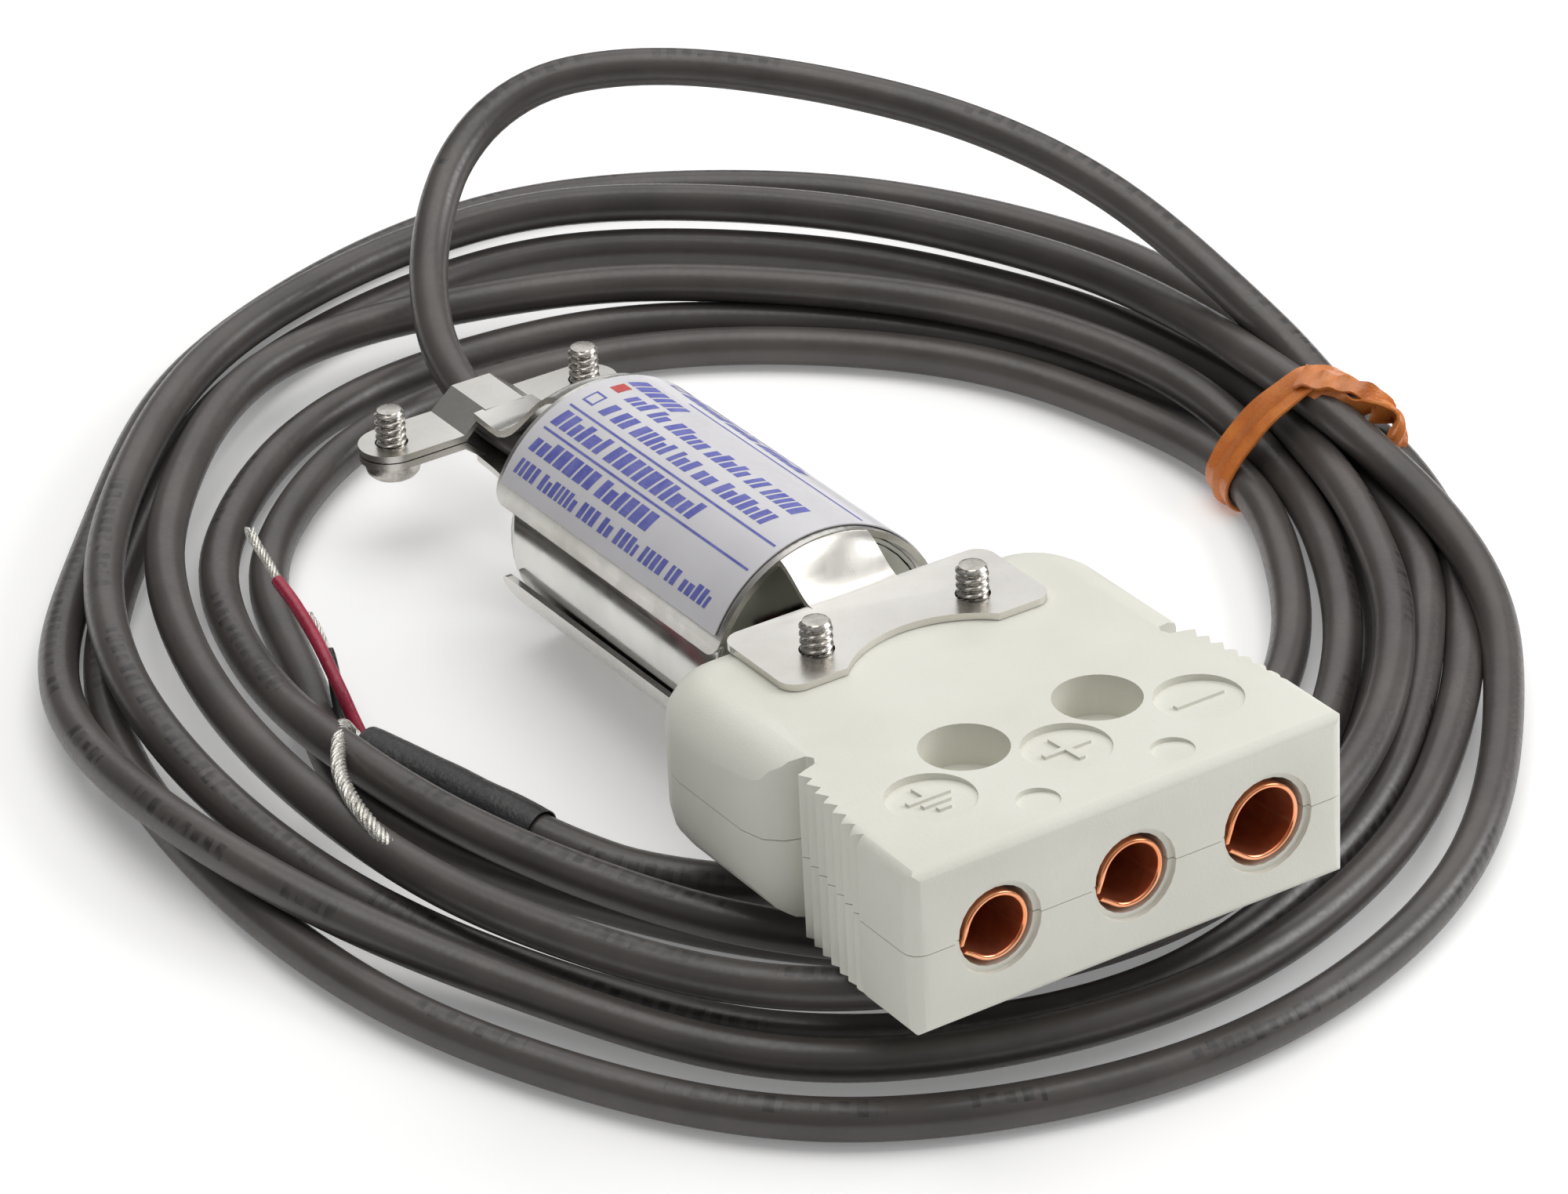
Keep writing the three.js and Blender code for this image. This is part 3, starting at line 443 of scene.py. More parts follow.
# %% Plain finishes
FINISHES = {
    "ivory_moulding": dict(
        light=(0.765, 0.76, 0.69), dark=(0.725, 0.715, 0.64), roughness=0.46, size=9,
        speckle=0.25, bump=0.006, rough_spread=0.06, specular=0.4,
    ),
    "bracket_sheet": dict(
        light=(0.74, 0.72, 0.685), dark=(0.66, 0.64, 0.60), roughness=0.27, metal=1, size=7,
        speckle=2.0, bump=0.0006, scratch=0.35, spacing=0.22, rough_spread=0.025,
    ),
    "can_plating": dict(
        light=(0.68, 0.68, 0.65), dark=(0.58, 0.58, 0.55), roughness=0.14, metal=1, size=6,
        speckle=1.6, bump=0.0005, scratch=0.5, spacing=0.3, rough_spread=0.03,
    ),
    "screw_steel": dict(
        light=(0.60, 0.57, 0.53), dark=(0.42, 0.40, 0.37), roughness=0.25, metal=1, size=0.9,
        speckle=0.2, bump=0.001, rough_spread=0.08,
    ),
    "socket_copper": dict(
        light=(0.98, 0.45, 0.25), dark=(0.86, 0.33, 0.15), roughness=0.2, metal=0.9, size=2.6,
        speckle=0.8, bump=0.002, scratch=0.6, spacing=0.3, rough_spread=0.05,
    ),
    "terminal_nickel": dict(
        light=(0.62, 0.60, 0.56), dark=(0.42, 0.40, 0.37), roughness=0.3, metal=1, size=1.5,
        speckle=0.2,
    ),
    "black_moulding": dict(
        light=(0.022, 0.022, 0.024), dark=(0.035, 0.034, 0.034), roughness=0.4, size=3,
        speckle=0.2,
    ),
    "chip_epoxy": dict(
        light=(0.02, 0.02, 0.022), dark=(0.03, 0.03, 0.03), roughness=0.55, size=1.5,
        speckle=0.1, bump=0.01,
    ),
    "board_mask": dict(
        light=(0.02, 0.13, 0.06), dark=(0.015, 0.09, 0.04), roughness=0.35, size=4,
        speckle=0.5, coat=0.4,
    ),
    "capacitor_shell": dict(
        light=(0.62, 0.62, 0.64), dark=(0.5, 0.5, 0.52), roughness=0.25, metal=1, size=3,
        speckle=0.2,
    ),
    "label_film": dict(
        light=(0.71, 0.70, 0.73), dark=(0.67, 0.66, 0.69), roughness=0.36, size=7,
        speckle=0.5, bump=0.002, coat=0.15,
    ),
    "print_blue": dict(
        light=(0.11, 0.12, 0.46), dark=(0.17, 0.18, 0.53), roughness=0.45, size=1.2,
        speckle=0.15,
    ),
    "print_red": dict(
        light=(0.62, 0.09, 0.09), dark=(0.55, 0.07, 0.07), roughness=0.45, size=1.2,
        speckle=0.15,
    ),
    "red_insulation": dict(
        light=(0.40, 0.022, 0.06), dark=(0.30, 0.014, 0.045), roughness=0.33, size=2,
        speckle=0.3, bump=0.01,
    ),
    "black_insulation": dict(
        light=(0.018, 0.018, 0.02), dark=(0.03, 0.03, 0.032), roughness=0.33, size=2,
        speckle=0.3, bump=0.01,
    ),
    "white_insulation": dict(
        light=(0.75, 0.74, 0.70), dark=(0.68, 0.66, 0.62), roughness=0.35, size=2,
        speckle=0.3, bump=0.01,
    ),
    "tinned_strand": dict(
        light=(0.78, 0.77, 0.72), dark=(0.50, 0.48, 0.44), roughness=0.32, metal=1, size=0.8,
        speckle=0.12,
    ),
    "shrink_sleeve": dict(
        light=(0.017, 0.017, 0.018), dark=(0.028, 0.028, 0.029), roughness=0.4, size=3,
        speckle=0.35, bump=0.02, rough_spread=0.1,
    ),
    "tie_ribbon": dict(
        light=(0.72, 0.23, 0.045), dark=(0.56, 0.155, 0.03), roughness=0.3, size=2.5,
        speckle=0.25, bump=0.012, coat=0.2,
    ),
}
for title, values in FINISHES.items():
    surface(title, **values)
print("finishes so far:", len(SKIN))

# %% [markdown]
# ## The lead's jacket, with its faint print
# Soft PVC has a satin sheen and picks up dust. A line of dark print runs along
# it. The print uses the tube's own map: U is millimetres along the lead and V
# goes once round. Random cells along U give marks of uneven width, a slower
# random gate opens them into words, and V keeps them in one narrow band. No
# mark is a letter.

# %% Effect: a printed line
MARK_FILL = 0.62  # how much of a mark's cell is inked
WORD_CELL, WORD_GATE = 5.2, 0.3
PHRASE_CELL, PHRASE_GATE = 46.0, 0.4
SWAY_PACE, SWAY = 0.021, 0.1  # the line wanders slowly round the jacket


def make_printed_line():
    """Ink where the map falls on a mark, by cells along U and one band of V."""
    tree, given, out = effect(
        "printed_line", {"Pitch mm": 1.25, "Band": 0.6, "Half height": 0.075}, ["Ink"]
    )
    given.location = (-1300, 0)
    place = node(tree, "ShaderNodeUVMap", (-1300, -200), uv_map="length_and_round")
    split = node(tree, "ShaderNodeSeparateXYZ", (-1100, -200))
    join(tree, place, "UV", split, 0)

    def cell(length, x, y, seed):
        """A random value that stays the same over each cell of the given length."""
        ratio = node(tree, "ShaderNodeMath", (x, y), operation="DIVIDE", inputs={1: length})
        join(tree, split, "X", ratio, 0)
        whole = node(tree, "ShaderNodeMath", (x + 160, y), operation="FLOOR")
        join(tree, ratio, 0, whole, 0)
        shift = node(tree, "ShaderNodeMath", (x + 320, y), operation="ADD", inputs={1: seed})
        join(tree, whole, 0, shift, 0)
        pick = node(tree, "ShaderNodeTexWhiteNoise", (x + 480, y), noise_dimensions="1D")
        join(tree, shift, 0, pick, "W")
        return ratio, pick

    ratio, height = cell(1.0, -900, 300, 3.0)
    join(tree, given, "Pitch mm", ratio, 1)
    within = node(tree, "ShaderNodeMath", (-560, 480), operation="FRACT")
    join(tree, ratio, 0, within, 0)
    inked = node(tree, "ShaderNodeMath", (-380, 480), operation="LESS_THAN", inputs={1: MARK_FILL})
    join(tree, within, 0, inked, 0)
    gates = []
    for length, y, seed, gate in (
        (WORD_CELL, 60, 11.0, WORD_GATE),
        (PHRASE_CELL, -480, 23.0, PHRASE_GATE),
    ):
        _, chance = cell(length, -900, y, seed)
        opened = node(tree, "ShaderNodeMath", (-200, y), operation="GREATER_THAN", inputs={1: gate})
        join(tree, chance, "Value", opened, 0)
        gates.append(opened)
    wander = node(
        tree, "ShaderNodeMath", (-1100, -420), operation="MULTIPLY", inputs={1: SWAY_PACE},
    )
    join(tree, split, "X", wander, 0)
    wave = node(tree, "ShaderNodeMath", (-940, -420), operation="SINE")
    join(tree, wander, 0, wave, 0)
    sway = node(tree, "ShaderNodeMath", (-780, -420), operation="MULTIPLY_ADD", inputs={1: SWAY})
    join(tree, wave, 0, sway, 0)
    join(tree, given, "Band", sway, 2)
    off = node(tree, "ShaderNodeMath", (-800, -240), operation="SUBTRACT")
    join(tree, split, "Y", off, 0)
    join(tree, sway, 0, off, 1)
    away = node(tree, "ShaderNodeMath", (-640, -240), operation="ABSOLUTE")
    join(tree, off, 0, away, 0)
    reach = node(
        tree, "ShaderNodeMath", (-380, 240), operation="MULTIPLY_ADD", inputs={1: 0.5, 2: 0.5},
    )
    join(tree, height, "Value", reach, 0)
    tall = node(tree, "ShaderNodeMath", (-200, 240), operation="MULTIPLY")
    join(tree, reach, 0, tall, 0)
    join(tree, given, "Half height", tall, 1)
    band = node(tree, "ShaderNodeMath", (-200, -240), operation="LESS_THAN")
    join(tree, away, 0, band, 0)
    join(tree, tall, 0, band, 1)
    result = inked
    for step, other in enumerate([*gates, band]):
        both = node(tree, "ShaderNodeMath", (40 + 160 * step, 0), operation="MULTIPLY")
        join(tree, result, 0, both, 0)
        join(tree, other, 0, both, 1)
        result = both
    join(tree, result, 0, out, "Ink")
    out.location = (700, 0)
    return tree


PRINTED_LINE = make_printed_line()
print("group:", PRINTED_LINE.name, " nodes:", len(PRINTED_LINE.nodes))

# %% [markdown]
# ## Jacket material
# The jacket starts as a finish like the others, and the ink is mixed in over
# its two tones. The cloud breaks the ink up, because print on soft PVC rubs off
# in patches.

# %% Jacket material
WEAR_SIZE = 1.1
INK_STRENGTH = 0.9
INK_COLOUR = (0.018, 0.016, 0.016, 1)


def make_jacket():
    """The two-tone finish with the worn print mixed in before Base Color."""
    made = surface(
        "lead_jacket", (0.082, 0.072, 0.068), (0.060, 0.053, 0.050), 0.35, size=7,
        speckle=0.35, bump=0.004, rough_spread=0.06, specular=0.6,
    )
    tree = made.node_tree
    shader = tree.nodes["Principled BSDF"]
    tones = next(n for n in tree.nodes if n.label == "tones")
    ink = node(tree, "ShaderNodeGroup", (-500, 560), node_tree=PRINTED_LINE)
    worn = node(tree, "ShaderNodeGroup", (-900, 560), node_tree=CLOUD)
    worn.inputs["Size mm"].default_value = WEAR_SIZE
    faint = node(tree, "ShaderNodeMath", (-300, 560), operation="MULTIPLY")
    join(tree, ink, "Ink", faint, 0)
    join(tree, worn, "Cloud", faint, 1)
    part = node(
        tree, "ShaderNodeMath", (-140, 560), operation="MULTIPLY", inputs={1: INK_STRENGTH},
    )
    join(tree, faint, 0, part, 0)
    printed = node(tree, "ShaderNodeMix", (20, 420), data_type="RGBA", label="print")
    printed.inputs["B"].default_value = INK_COLOUR
    join(tree, part, 0, printed, "Factor")
    tree.links.new(tones.outputs["Result"], printed.inputs["A"])
    tree.links.new(printed.outputs["Result"], shader.inputs["Base Color"])
    return made


make_jacket()
print("finishes:", sorted(SKIN))

# %% [markdown]
# ## Mesh helpers
# Round things that follow a route are swept: a ring of points is carried along
# the line in a frame that turns as little as possible, so it never twists by
# itself. The same sweep makes the jacket, wires, sleeve and single strands.

# %% Sweeping a section along a line
def turning_frames(line):
    """Unit tangents with two side vectors each, carried along without twist."""
    tangent = np.gradient(line, axis=0)
    tangent /= np.linalg.norm(tangent, axis=1)[:, None]
    up = np.array([0.0, 0.0, 1.0])
    side = np.cross(tangent[0], up)
    if np.linalg.norm(side) < 1e-3:
        side = np.array([1.0, 0.0, 0.0])
    side /= np.linalg.norm(side)
    sides = []
    for t in tangent:
        side = side - t * np.dot(side, t)
        side /= np.linalg.norm(side)
        sides.append(side.copy())
    sides = np.array(sides)
    return tangent, sides, np.cross(tangent, sides)


def sweep_into(vertices, faces, line, radii, sides):
    """Adds one swept tube, closed at both ends, to lists of vertices and faces."""
    _, across, over = turning_frames(line)
    start = len(vertices)
    angles = np.linspace(0, 2 * math.pi, sides, endpoint=False)
    for point, a, b, radius in zip(line, across, over, radii):
        for angle in angles:
            vertices.append(point + radius * (math.cos(angle) * a + math.sin(angle) * b))
    tube_faces(faces, start, len(line), sides)


def tube_faces(faces, start, rings, sides):
    """Faces between rings of points that were added one after the other, and two caps."""
    for k in range(rings - 1):
        for j in range(sides):
            n = (j + 1) % sides
            low, high = start + k * sides, start + (k + 1) * sides
            faces.append((low + j, low + n, high + n, high + j))
    faces.append(tuple(start + j for j in reversed(range(sides))))
    faces.append(tuple(start + (rings - 1) * sides + j for j in range(sides)))


def ring_faces(faces, rows, sides):
    """Faces of a closed band of rings, where the last ring joins the first."""
    for k in range(rows):
        after = (k + 1) % rows
        for j in range(sides):
            n = (j + 1) % sides
            faces.append((k * sides + j, k * sides + n, after * sides + n, after * sides + j))


def piece(name, vertices, faces, finish):
    """Makes a mesh object that rides on the one body and wears the finish."""
    mesh = bpy.data.meshes.new(name)
    mesh.from_pydata([tuple(v) for v in vertices], [], faces)
    mesh.validate()
    mesh.materials.append(SKIN[finish])
    mesh.polygons.foreach_set("use_smooth", [True] * len(mesh.polygons))
    made = bpy.data.objects.new(name, mesh)
    bpy.context.scene.collection.objects.link(made)
    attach(made, "root")
    return made


SHARP_EDGE = math.radians(35)


def fix_normals(made):
    """Points every face outwards and keeps the sharpest edges sharp."""
    work = bmesh.new()
    work.from_mesh(made.data)
    bmesh.ops.recalc_face_normals(work, faces=work.faces)
    for edge in work.edges:
        if len(edge.link_faces) == 2:
            edge.smooth = edge.calc_face_angle(0) < SHARP_EDGE
    work.to_mesh(made.data)
    work.free()
    return made


def resample(line, step):
    """A smooth line through points in metres, at even steps."""
    return smooth_line(np.asarray(line) / MM, step / MM) * MM


print("a tube edge turns sharp at, degrees:", round(math.degrees(SHARP_EDGE)))

# %% [markdown]
# ## The lead itself
# The settled centreline becomes one tube from the can to the sleeve. It has a
# ring of points every millimetre or so, which keeps the bends round, and a map
# of millimetres along and turns round for the printed line.

# %% The jacket tube
RING_SPACING = 1.15
JACKET_SIDES = 16


def make_lead():
    """The whole lead as one tube, with its map, and the line that it follows."""
    line = resample(on_floor(lead_line), RING_SPACING * MM)
    sides = JACKET_SIDES
    radii = [CABLE / 2 * MM] * len(line)
    vertices, faces = [], []
    sweep_into(vertices, faces, line, radii, sides)
    made = piece("shielded_lead", vertices, faces, "lead_jacket")
    along = np.r_[0, np.cumsum(np.linalg.norm(np.diff(line, axis=0), axis=1))] / MM
    chart = made.data.uv_layers.new(name="length_and_round")
    for polygon in made.data.polygons:
        corners = [made.data.loops[i].vertex_index for i in polygon.loop_indices]
        turns = [(v % sides) / sides for v in corners]
        wraps = max(turns) - min(turns) > 0.5
        for loop, v, turn in zip(polygon.loop_indices, corners, turns):
            round_it = turn + 1 if wraps and turn < 0.5 else turn
            chart.data[loop].uv = (along[min(v // sides, len(along) - 1)], round_it)
    return fix_normals(made), line


lead, centreline = make_lead()
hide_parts("cable_loop", "cable_coil", "cable_tail")

# %% [markdown]
# ## Hard pieces, with their edges broken
# The CAD pieces already have the right shape, but their edges are perfectly
# sharp, and a real moulding or stamping catches light along each edge. A copy
# of the mesh is welded, given a small bevel on its sharp edges and shaded
# smooth between them. The copy stands for the CAD node and never moves from it.

# %% Softened copies
BEVEL_SEGMENTS = 2
BEVEL_ABOVE = math.radians(32)
WELD, SLIVER = 0.004, 0.002
FLAT_WITHIN = math.radians(0.6)


def softened(name, finish, width):
    """A welded, bevelled, smooth-shaded copy of a CAD node, in its own place."""
    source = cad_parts[name]
    mesh = source.data.copy()
    mesh.name = name + "_fine"
    work = bmesh.new()
    work.from_mesh(mesh)
    bmesh.ops.remove_doubles(work, verts=work.verts, dist=WELD * MM)
    bmesh.ops.dissolve_degenerate(work, edges=work.edges, dist=SLIVER * MM)
    bmesh.ops.dissolve_limit(
        work, angle_limit=FLAT_WITHIN, verts=work.verts, edges=work.edges, delimit={"NORMAL"},
    )
    work.to_mesh(mesh)
    work.free()
    mesh.polygons.foreach_set("use_smooth", [True] * len(mesh.polygons))
    if "custom_normal" in mesh.attributes:
        mesh.attributes.remove(mesh.attributes["custom_normal"])
    mesh.materials.clear()
    mesh.materials.append(SKIN[finish])
    made = bpy.data.objects.new(name + "_fine", mesh)
    bpy.context.scene.collection.objects.link(made)
    bevel = made.modifiers.new("broken_edges", "BEVEL")
    bevel.width = width * MM
    bevel.segments = BEVEL_SEGMENTS
    bevel.limit_method = "ANGLE"
    bevel.angle_limit = BEVEL_ABOVE
    bevel.use_clamp_overlap = True
    bevel.harden_normals = True
    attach(made, "root")
    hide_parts(name)
    return made


SOFTENED = {
    "connector_top_half": ("ivory_moulding", "ivory_plastic", 0.18),
    "connector_bottom_half": ("ivory_moulding", "ivory_plastic", 0.18),
    "bracket_upper": ("bracket_sheet", "bracket_steel", 0.10),
    "bracket_lower": ("bracket_sheet", "bracket_steel", 0.10),
    "can": ("can_plating", "plated_can", 0.12),
    "can_front_cap": ("can_plating", "plated_can", 0.1),
    "can_rear_bush": ("black_moulding", "black_plastic", 0.15),
}
for title, (finish, slot_name, width) in SOFTENED.items():
    made = softened(title, finish, width)
    print(title, "faces:", len(made.data.polygons))

# %% [markdown]
# ## Sockets
# Each socket is a strip of copper alloy rolled into a tube. Its two edges don't
# meet: they turn outwards into a small V, and the mouth is rounded so that a
# pin finds its way in. A plain tube has none of this, so the wall is built as
# a grid: once round the open section, and along the bore and back.

# %% Rolled tubes with turned-out lips
PITCH = 11.1
# Each socket: place across the nose, and outside radius.
SOCKETS = {"ground": (-PITCH, 2.42), "positive": (0.0, 2.42), "negative": (PITCH, 2.75)}
SOCKET_WALL = 0.38
SOCKET_FRONT = 0.25
SOCKET_BACK = 13.0
BORE_STATIONS = (1.8, 4.0, 8.0, SOCKET_BACK)
WALL_COLUMNS = 61
SLIT = math.radians(197)
SLIT_GAP = 0.1  # radians on each side
LIP, LIP_REACH = 0.42, 0.2  # how far the edges turn out, and over what angle
LIP_FADE, LIP_LEFT = 7.0, 0.35  # the lip lessens down this length, to this share
BELL, BELL_DEPTH = 0.16, 0.8  # the mouth's flare
STRIP_HALF, STRIP_THICK = 1.5, 0.45
STRIP_OVERLAP = 1.2
STRIP_END = 24.0


def grid_faces(faces, start, rows, columns):
    """Faces of a grid of points that were added row by row."""
    for r in range(rows - 1):
        for c in range(columns - 1):
            a = start + r * columns + c
            faces.append((a, a + 1, a + columns + 1, a + columns))


def wall_profile():
    """Depth below the outer face and place along the bore, out and back, mouth rounded."""
    half = SOCKET_WALL / 2
    rounded = [
        (half + half * math.cos(a), SOCKET_FRONT + half - half * math.sin(a))
        for a in np.linspace(0, math.pi, 9)
    ]
    inner = [(SOCKET_WALL, y) for y in reversed(BORE_STATIONS)]
    outer = [(0.0, y) for y in BORE_STATIONS]
    return inner + rounded + outer


def rolled_socket(name, x, outer):
    """The rolled wall with its lips, and the flat strip that runs back from it."""
    vertices, faces = [], []
    profile = wall_profile()
    turns = np.linspace(SLIT + SLIT_GAP, SLIT + 2 * math.pi - SLIT_GAP, WALL_COLUMNS)
    for turn in turns:
        to_edge = min(turn - turns[0], turns[-1] - turn)
        lip = LIP * math.exp(-((to_edge / LIP_REACH) ** 1.4))
        for inward, y in profile:
            depth = y - SOCKET_FRONT
            fade = max(0.0, 1 - depth / LIP_FADE)
            bell = BELL * math.exp(-((depth / BELL_DEPTH) ** 2))
            radius = outer - inward + bell + lip * (LIP_LEFT + (1 - LIP_LEFT) * fade)
            at = (x + radius * math.cos(turn), y, radius * math.sin(turn))
            vertices.append(TOOL @ Vector(at))
    grid_faces(faces, 0, len(turns), len(profile))
    for row in (0, len(turns) - 1):
        ring = [row * len(profile) + k for k in range(len(profile))]
        faces.append(tuple(ring if row else reversed(ring)))
    for k in range(len(turns) - 1):
        a, b = k * len(profile), (k + 1) * len(profile)
        last = len(profile) - 1
        faces.append((a, a + last, b + last, b))
    box_at = len(vertices)
    low, high, half = -outer, -outer + STRIP_THICK, STRIP_HALF
    for y in (SOCKET_BACK - STRIP_OVERLAP, STRIP_END):
        for across, up in ((-half, low), (half, low), (half, high), (-half, high)):
            vertices.append(TOOL @ Vector((x + across, y, up)))
    for side in range(4):
        after = (side + 1) % 4
        faces.append((box_at + side, box_at + after, box_at + 4 + after, box_at + 4 + side))
    faces.append(tuple(box_at + k for k in (3, 2, 1, 0)))
    faces.append(tuple(box_at + k for k in (4, 5, 6, 7)))
    made = piece(f"socket_{name}_rolled", vertices, faces, "socket_copper")
    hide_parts(f"socket_{name}")
    return fix_normals(made)


for title, (x, outer) in SOCKETS.items():
    print(title, "faces:", len(rolled_socket(title, x, outer).data.polygons))

# %% [markdown]
# ## Screws
# Four screws run up through the piece and show their threaded tips. A thread
# could be bump, but at the tips its outline shows against what lies behind. So
# the shank is a grid whose radius rises and falls with height, one pitch per
# turn. The pan heads underneath have a cross recess.

# %% Threaded screws
THREAD_PITCH = 0.6
THREAD_CREST = 1.2
THREAD_ROOT = 0.93
THREAD_FLAT, THREAD_FLANK = 0.18, 0.6  # shares of half a pitch
THREAD_STEP = 0.075
TIP_CHAMFER = 0.28
HEAD_RADIUS = 2.15
HEAD_DEPTH = 1.5
CROSS_ARM, CROSS_HALF = 1.15, 0.28
AROUND = 32
# Each screw: x, y, height of the underside of its head, height of its tip.
SCREWS = {
    "body_screw_left": (-6.6, 28.5, -7.10, 9.35),
    "body_screw_right": (6.6, 28.5, -7.10, 9.35),
    "clamp_screw_left": (-8.7, 85.5, -0.65, 3.4),
    "clamp_screw_right": (8.7, 85.5, -0.65, 3.4),
}


def thread_radius(angle, z, tip):
    """Radius of the thread in this direction at this height, chamfered at the tip."""
    phase = (z / THREAD_PITCH - angle / (2 * math.pi)) % 1.0
    ramp = (1 - abs(2 * phase - 1) - THREAD_FLAT) / THREAD_FLANK
    rise = min(max(ramp, 0.0), 1.0)
    radius = THREAD_ROOT + (THREAD_CREST - THREAD_ROOT) * rise
    return min(radius, THREAD_CREST - 0.9 * max(0.0, z - (tip - TIP_CHAMFER)))


def cross_edge(angle):
    """Distance to the edge of the head's cross in this direction."""
    off = abs((angle + math.pi / 4) % (math.pi / 2) - math.pi / 4)
    if off < math.atan2(CROSS_HALF, CROSS_ARM):
        return CROSS_ARM / math.cos(off)
    return CROSS_HALF / math.sin(off)


def screw_rows(underhead, tip):
    """Rings of (radius, angle, height): up out of the cross, over the head, up the thread."""
    head = underhead - HEAD_DEPTH
    angles = np.linspace(0, 2 * math.pi, AROUND, endpoint=False)
    # scale and offset from the cross's edge, and height above the head's crown
    cross = [(0.0, 0.0, 0.75), (0.8, 0.0, 0.7), (1.0, 0.0, 0.12), (1.0, 0.05, 0.02)]
    rows = [
        [(cross_edge(a) * scale + offset, a, head + up) for a in angles]
        for scale, offset, up in cross
    ]
    pan = [
        (1.45, head), (1.8, head + 0.14), (2.05, head + 0.42), (HEAD_RADIUS, head + 0.8),
        (HEAD_RADIUS, underhead - 0.08), (HEAD_RADIUS - 0.08, underhead),
        (THREAD_CREST, underhead),
    ]
    rows += [[(radius, a, z) for a in angles] for radius, z in pan]
    for z in np.linspace(underhead + 0.02, tip, int((tip - underhead) / THREAD_STEP)):
        rows.append([(thread_radius(a, z, tip), a, z) for a in angles])
    rows.append([(r * 0.82, a, tip + 0.03) for r, a, z in rows[-1]])
    rows.append([(0.0, a, tip - 0.02) for r, a, z in rows[-1]])
    return rows


def screw(name, x, y, underhead, tip):
    """One screw in its place, standing for its CAD node."""
    rows = screw_rows(underhead, tip)
    vertices = [
        TOOL @ Vector((x + r * math.cos(a), y + r * math.sin(a), z))
        for row in rows for r, a, z in row
    ]
    faces = []
    for k in range(len(rows) - 1):
        for j in range(AROUND):
            n = (j + 1) % AROUND
            low, high = k * AROUND, (k + 1) * AROUND
            faces.append((low + j, low + n, high + n, high + j))
    made = piece(name + "_threaded", vertices, faces, "screw_steel")
    work = bmesh.new()
    work.from_mesh(made.data)
    bmesh.ops.remove_doubles(work, verts=work.verts, dist=0.001 * MM)
    work.to_mesh(made.data)
    work.free()
    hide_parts(name)
    return fix_normals(made)


for title, (x, y, underhead, tip) in SCREWS.items():
    print(title, "faces:", len(screw(title, x, y, underhead, tip).data.polygons))

# %% [markdown]
# ## Label
# The label is a thin film bent round the upper shell. The film and its printing
# are separate pieces: thin patches that share the shell's axis, a few
# hundredths of a millimetre proud, so the print needs no texture. The rows of
# writing are only suggested by slanted blocks, grouped into words.

# %% The film
FILM_RADIUS = 10.17
FILM_FROM, FILM_TO = 27.0, 153.0
FILM_START, FILM_END = 38.2, 67.9
FILM_THICK = 0.1
FILM_COLUMNS = 64
EDGE_LIFT = 0.05  # the long edges have begun to peel a little
PRINT_RISE = 0.015


def on_shell(angle, y, radius):
    """A point by degrees round the shell, place along it, and radius."""
    a = math.radians(angle)
    return TOOL @ Vector((radius * math.cos(a), y, radius * math.sin(a)))


def film():
    """Outer and inner face of the film, joined round the rim."""
    vertices, faces = [], []
    columns = FILM_COLUMNS
    stations = (FILM_START, *np.linspace(FILM_START + 0.3, FILM_END - 0.3, 9), FILM_END)
    for radius in (FILM_RADIUS, FILM_RADIUS - FILM_THICK):
        for y in stations:
            for angle in np.linspace(FILM_FROM, FILM_TO, columns):
                near = min(angle - FILM_FROM, FILM_TO - angle)
                lift = EDGE_LIFT * math.exp(-near / 1.2) * (0.6 + 0.4 * math.sin(0.7 * y))
                vertices.append(on_shell(angle, y, radius + lift))
    rows = len(stations)
    layer = rows * columns
    grid_faces(faces, 0, rows, columns)
    for r in range(rows - 1):
        for c in range(columns - 1):
            a = layer + r * columns + c
            faces.append((a, a + columns, a + columns + 1, a + 1))
    rim = list(range(columns))
    rim += [r * columns + columns - 1 for r in range(1, rows)]
    rim += [(rows - 1) * columns + c for c in range(columns - 2, -1, -1)]
    rim += [r * columns for r in range(rows - 2, 0, -1)]
    for k, a in enumerate(rim):
        b = rim[(k + 1) % len(rim)]
        faces.append((a, layer + a, layer + b, b))
    made = piece("label_film_bent", vertices, faces, "label_film")
    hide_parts("rating_label")
    return fix_normals(made)


print("film faces:", len(film().data.polygons))

# %% [markdown]
# ## Print on the film
# Blue ink gives three rules, two tick boxes and eight rows of marks, and one
# red square fills a box. Nothing on the label can be read: each row is made of
# plain blocks of uneven width and height, in groups as long as words.

# %% Print on the film
ARC = math.degrees(1 / FILM_RADIUS)  # degrees of arc in a millimetre
PATCH_STEP = 2.5  # degrees of arc that a flat facet of ink may span
BLOCK_SLANT = -0.22
LETTER_GAP, WORD_GAP = 0.17, 0.34  # as parts of the row's height


def patch(vertices, faces, angle0, angle1, y0, y1, slant=0.0):
    """A thin patch of ink. The slant leans its far side along the label."""
    steps = max(2, int(abs(angle1 - angle0) / PATCH_STEP) + 1)
    start = len(vertices)
    for step in range(steps + 1):
        share = step / steps
        angle = angle0 + (angle1 - angle0) * share
        lean = slant * share
        vertices.append(on_shell(angle, y0 + lean, FILM_RADIUS + PRINT_RISE))
        vertices.append(on_shell(angle, y1 + lean, FILM_RADIUS + PRINT_RISE))
    for step in range(steps):
        a = start + 2 * step
        faces.append((a, a + 1, a + 3, a + 2))


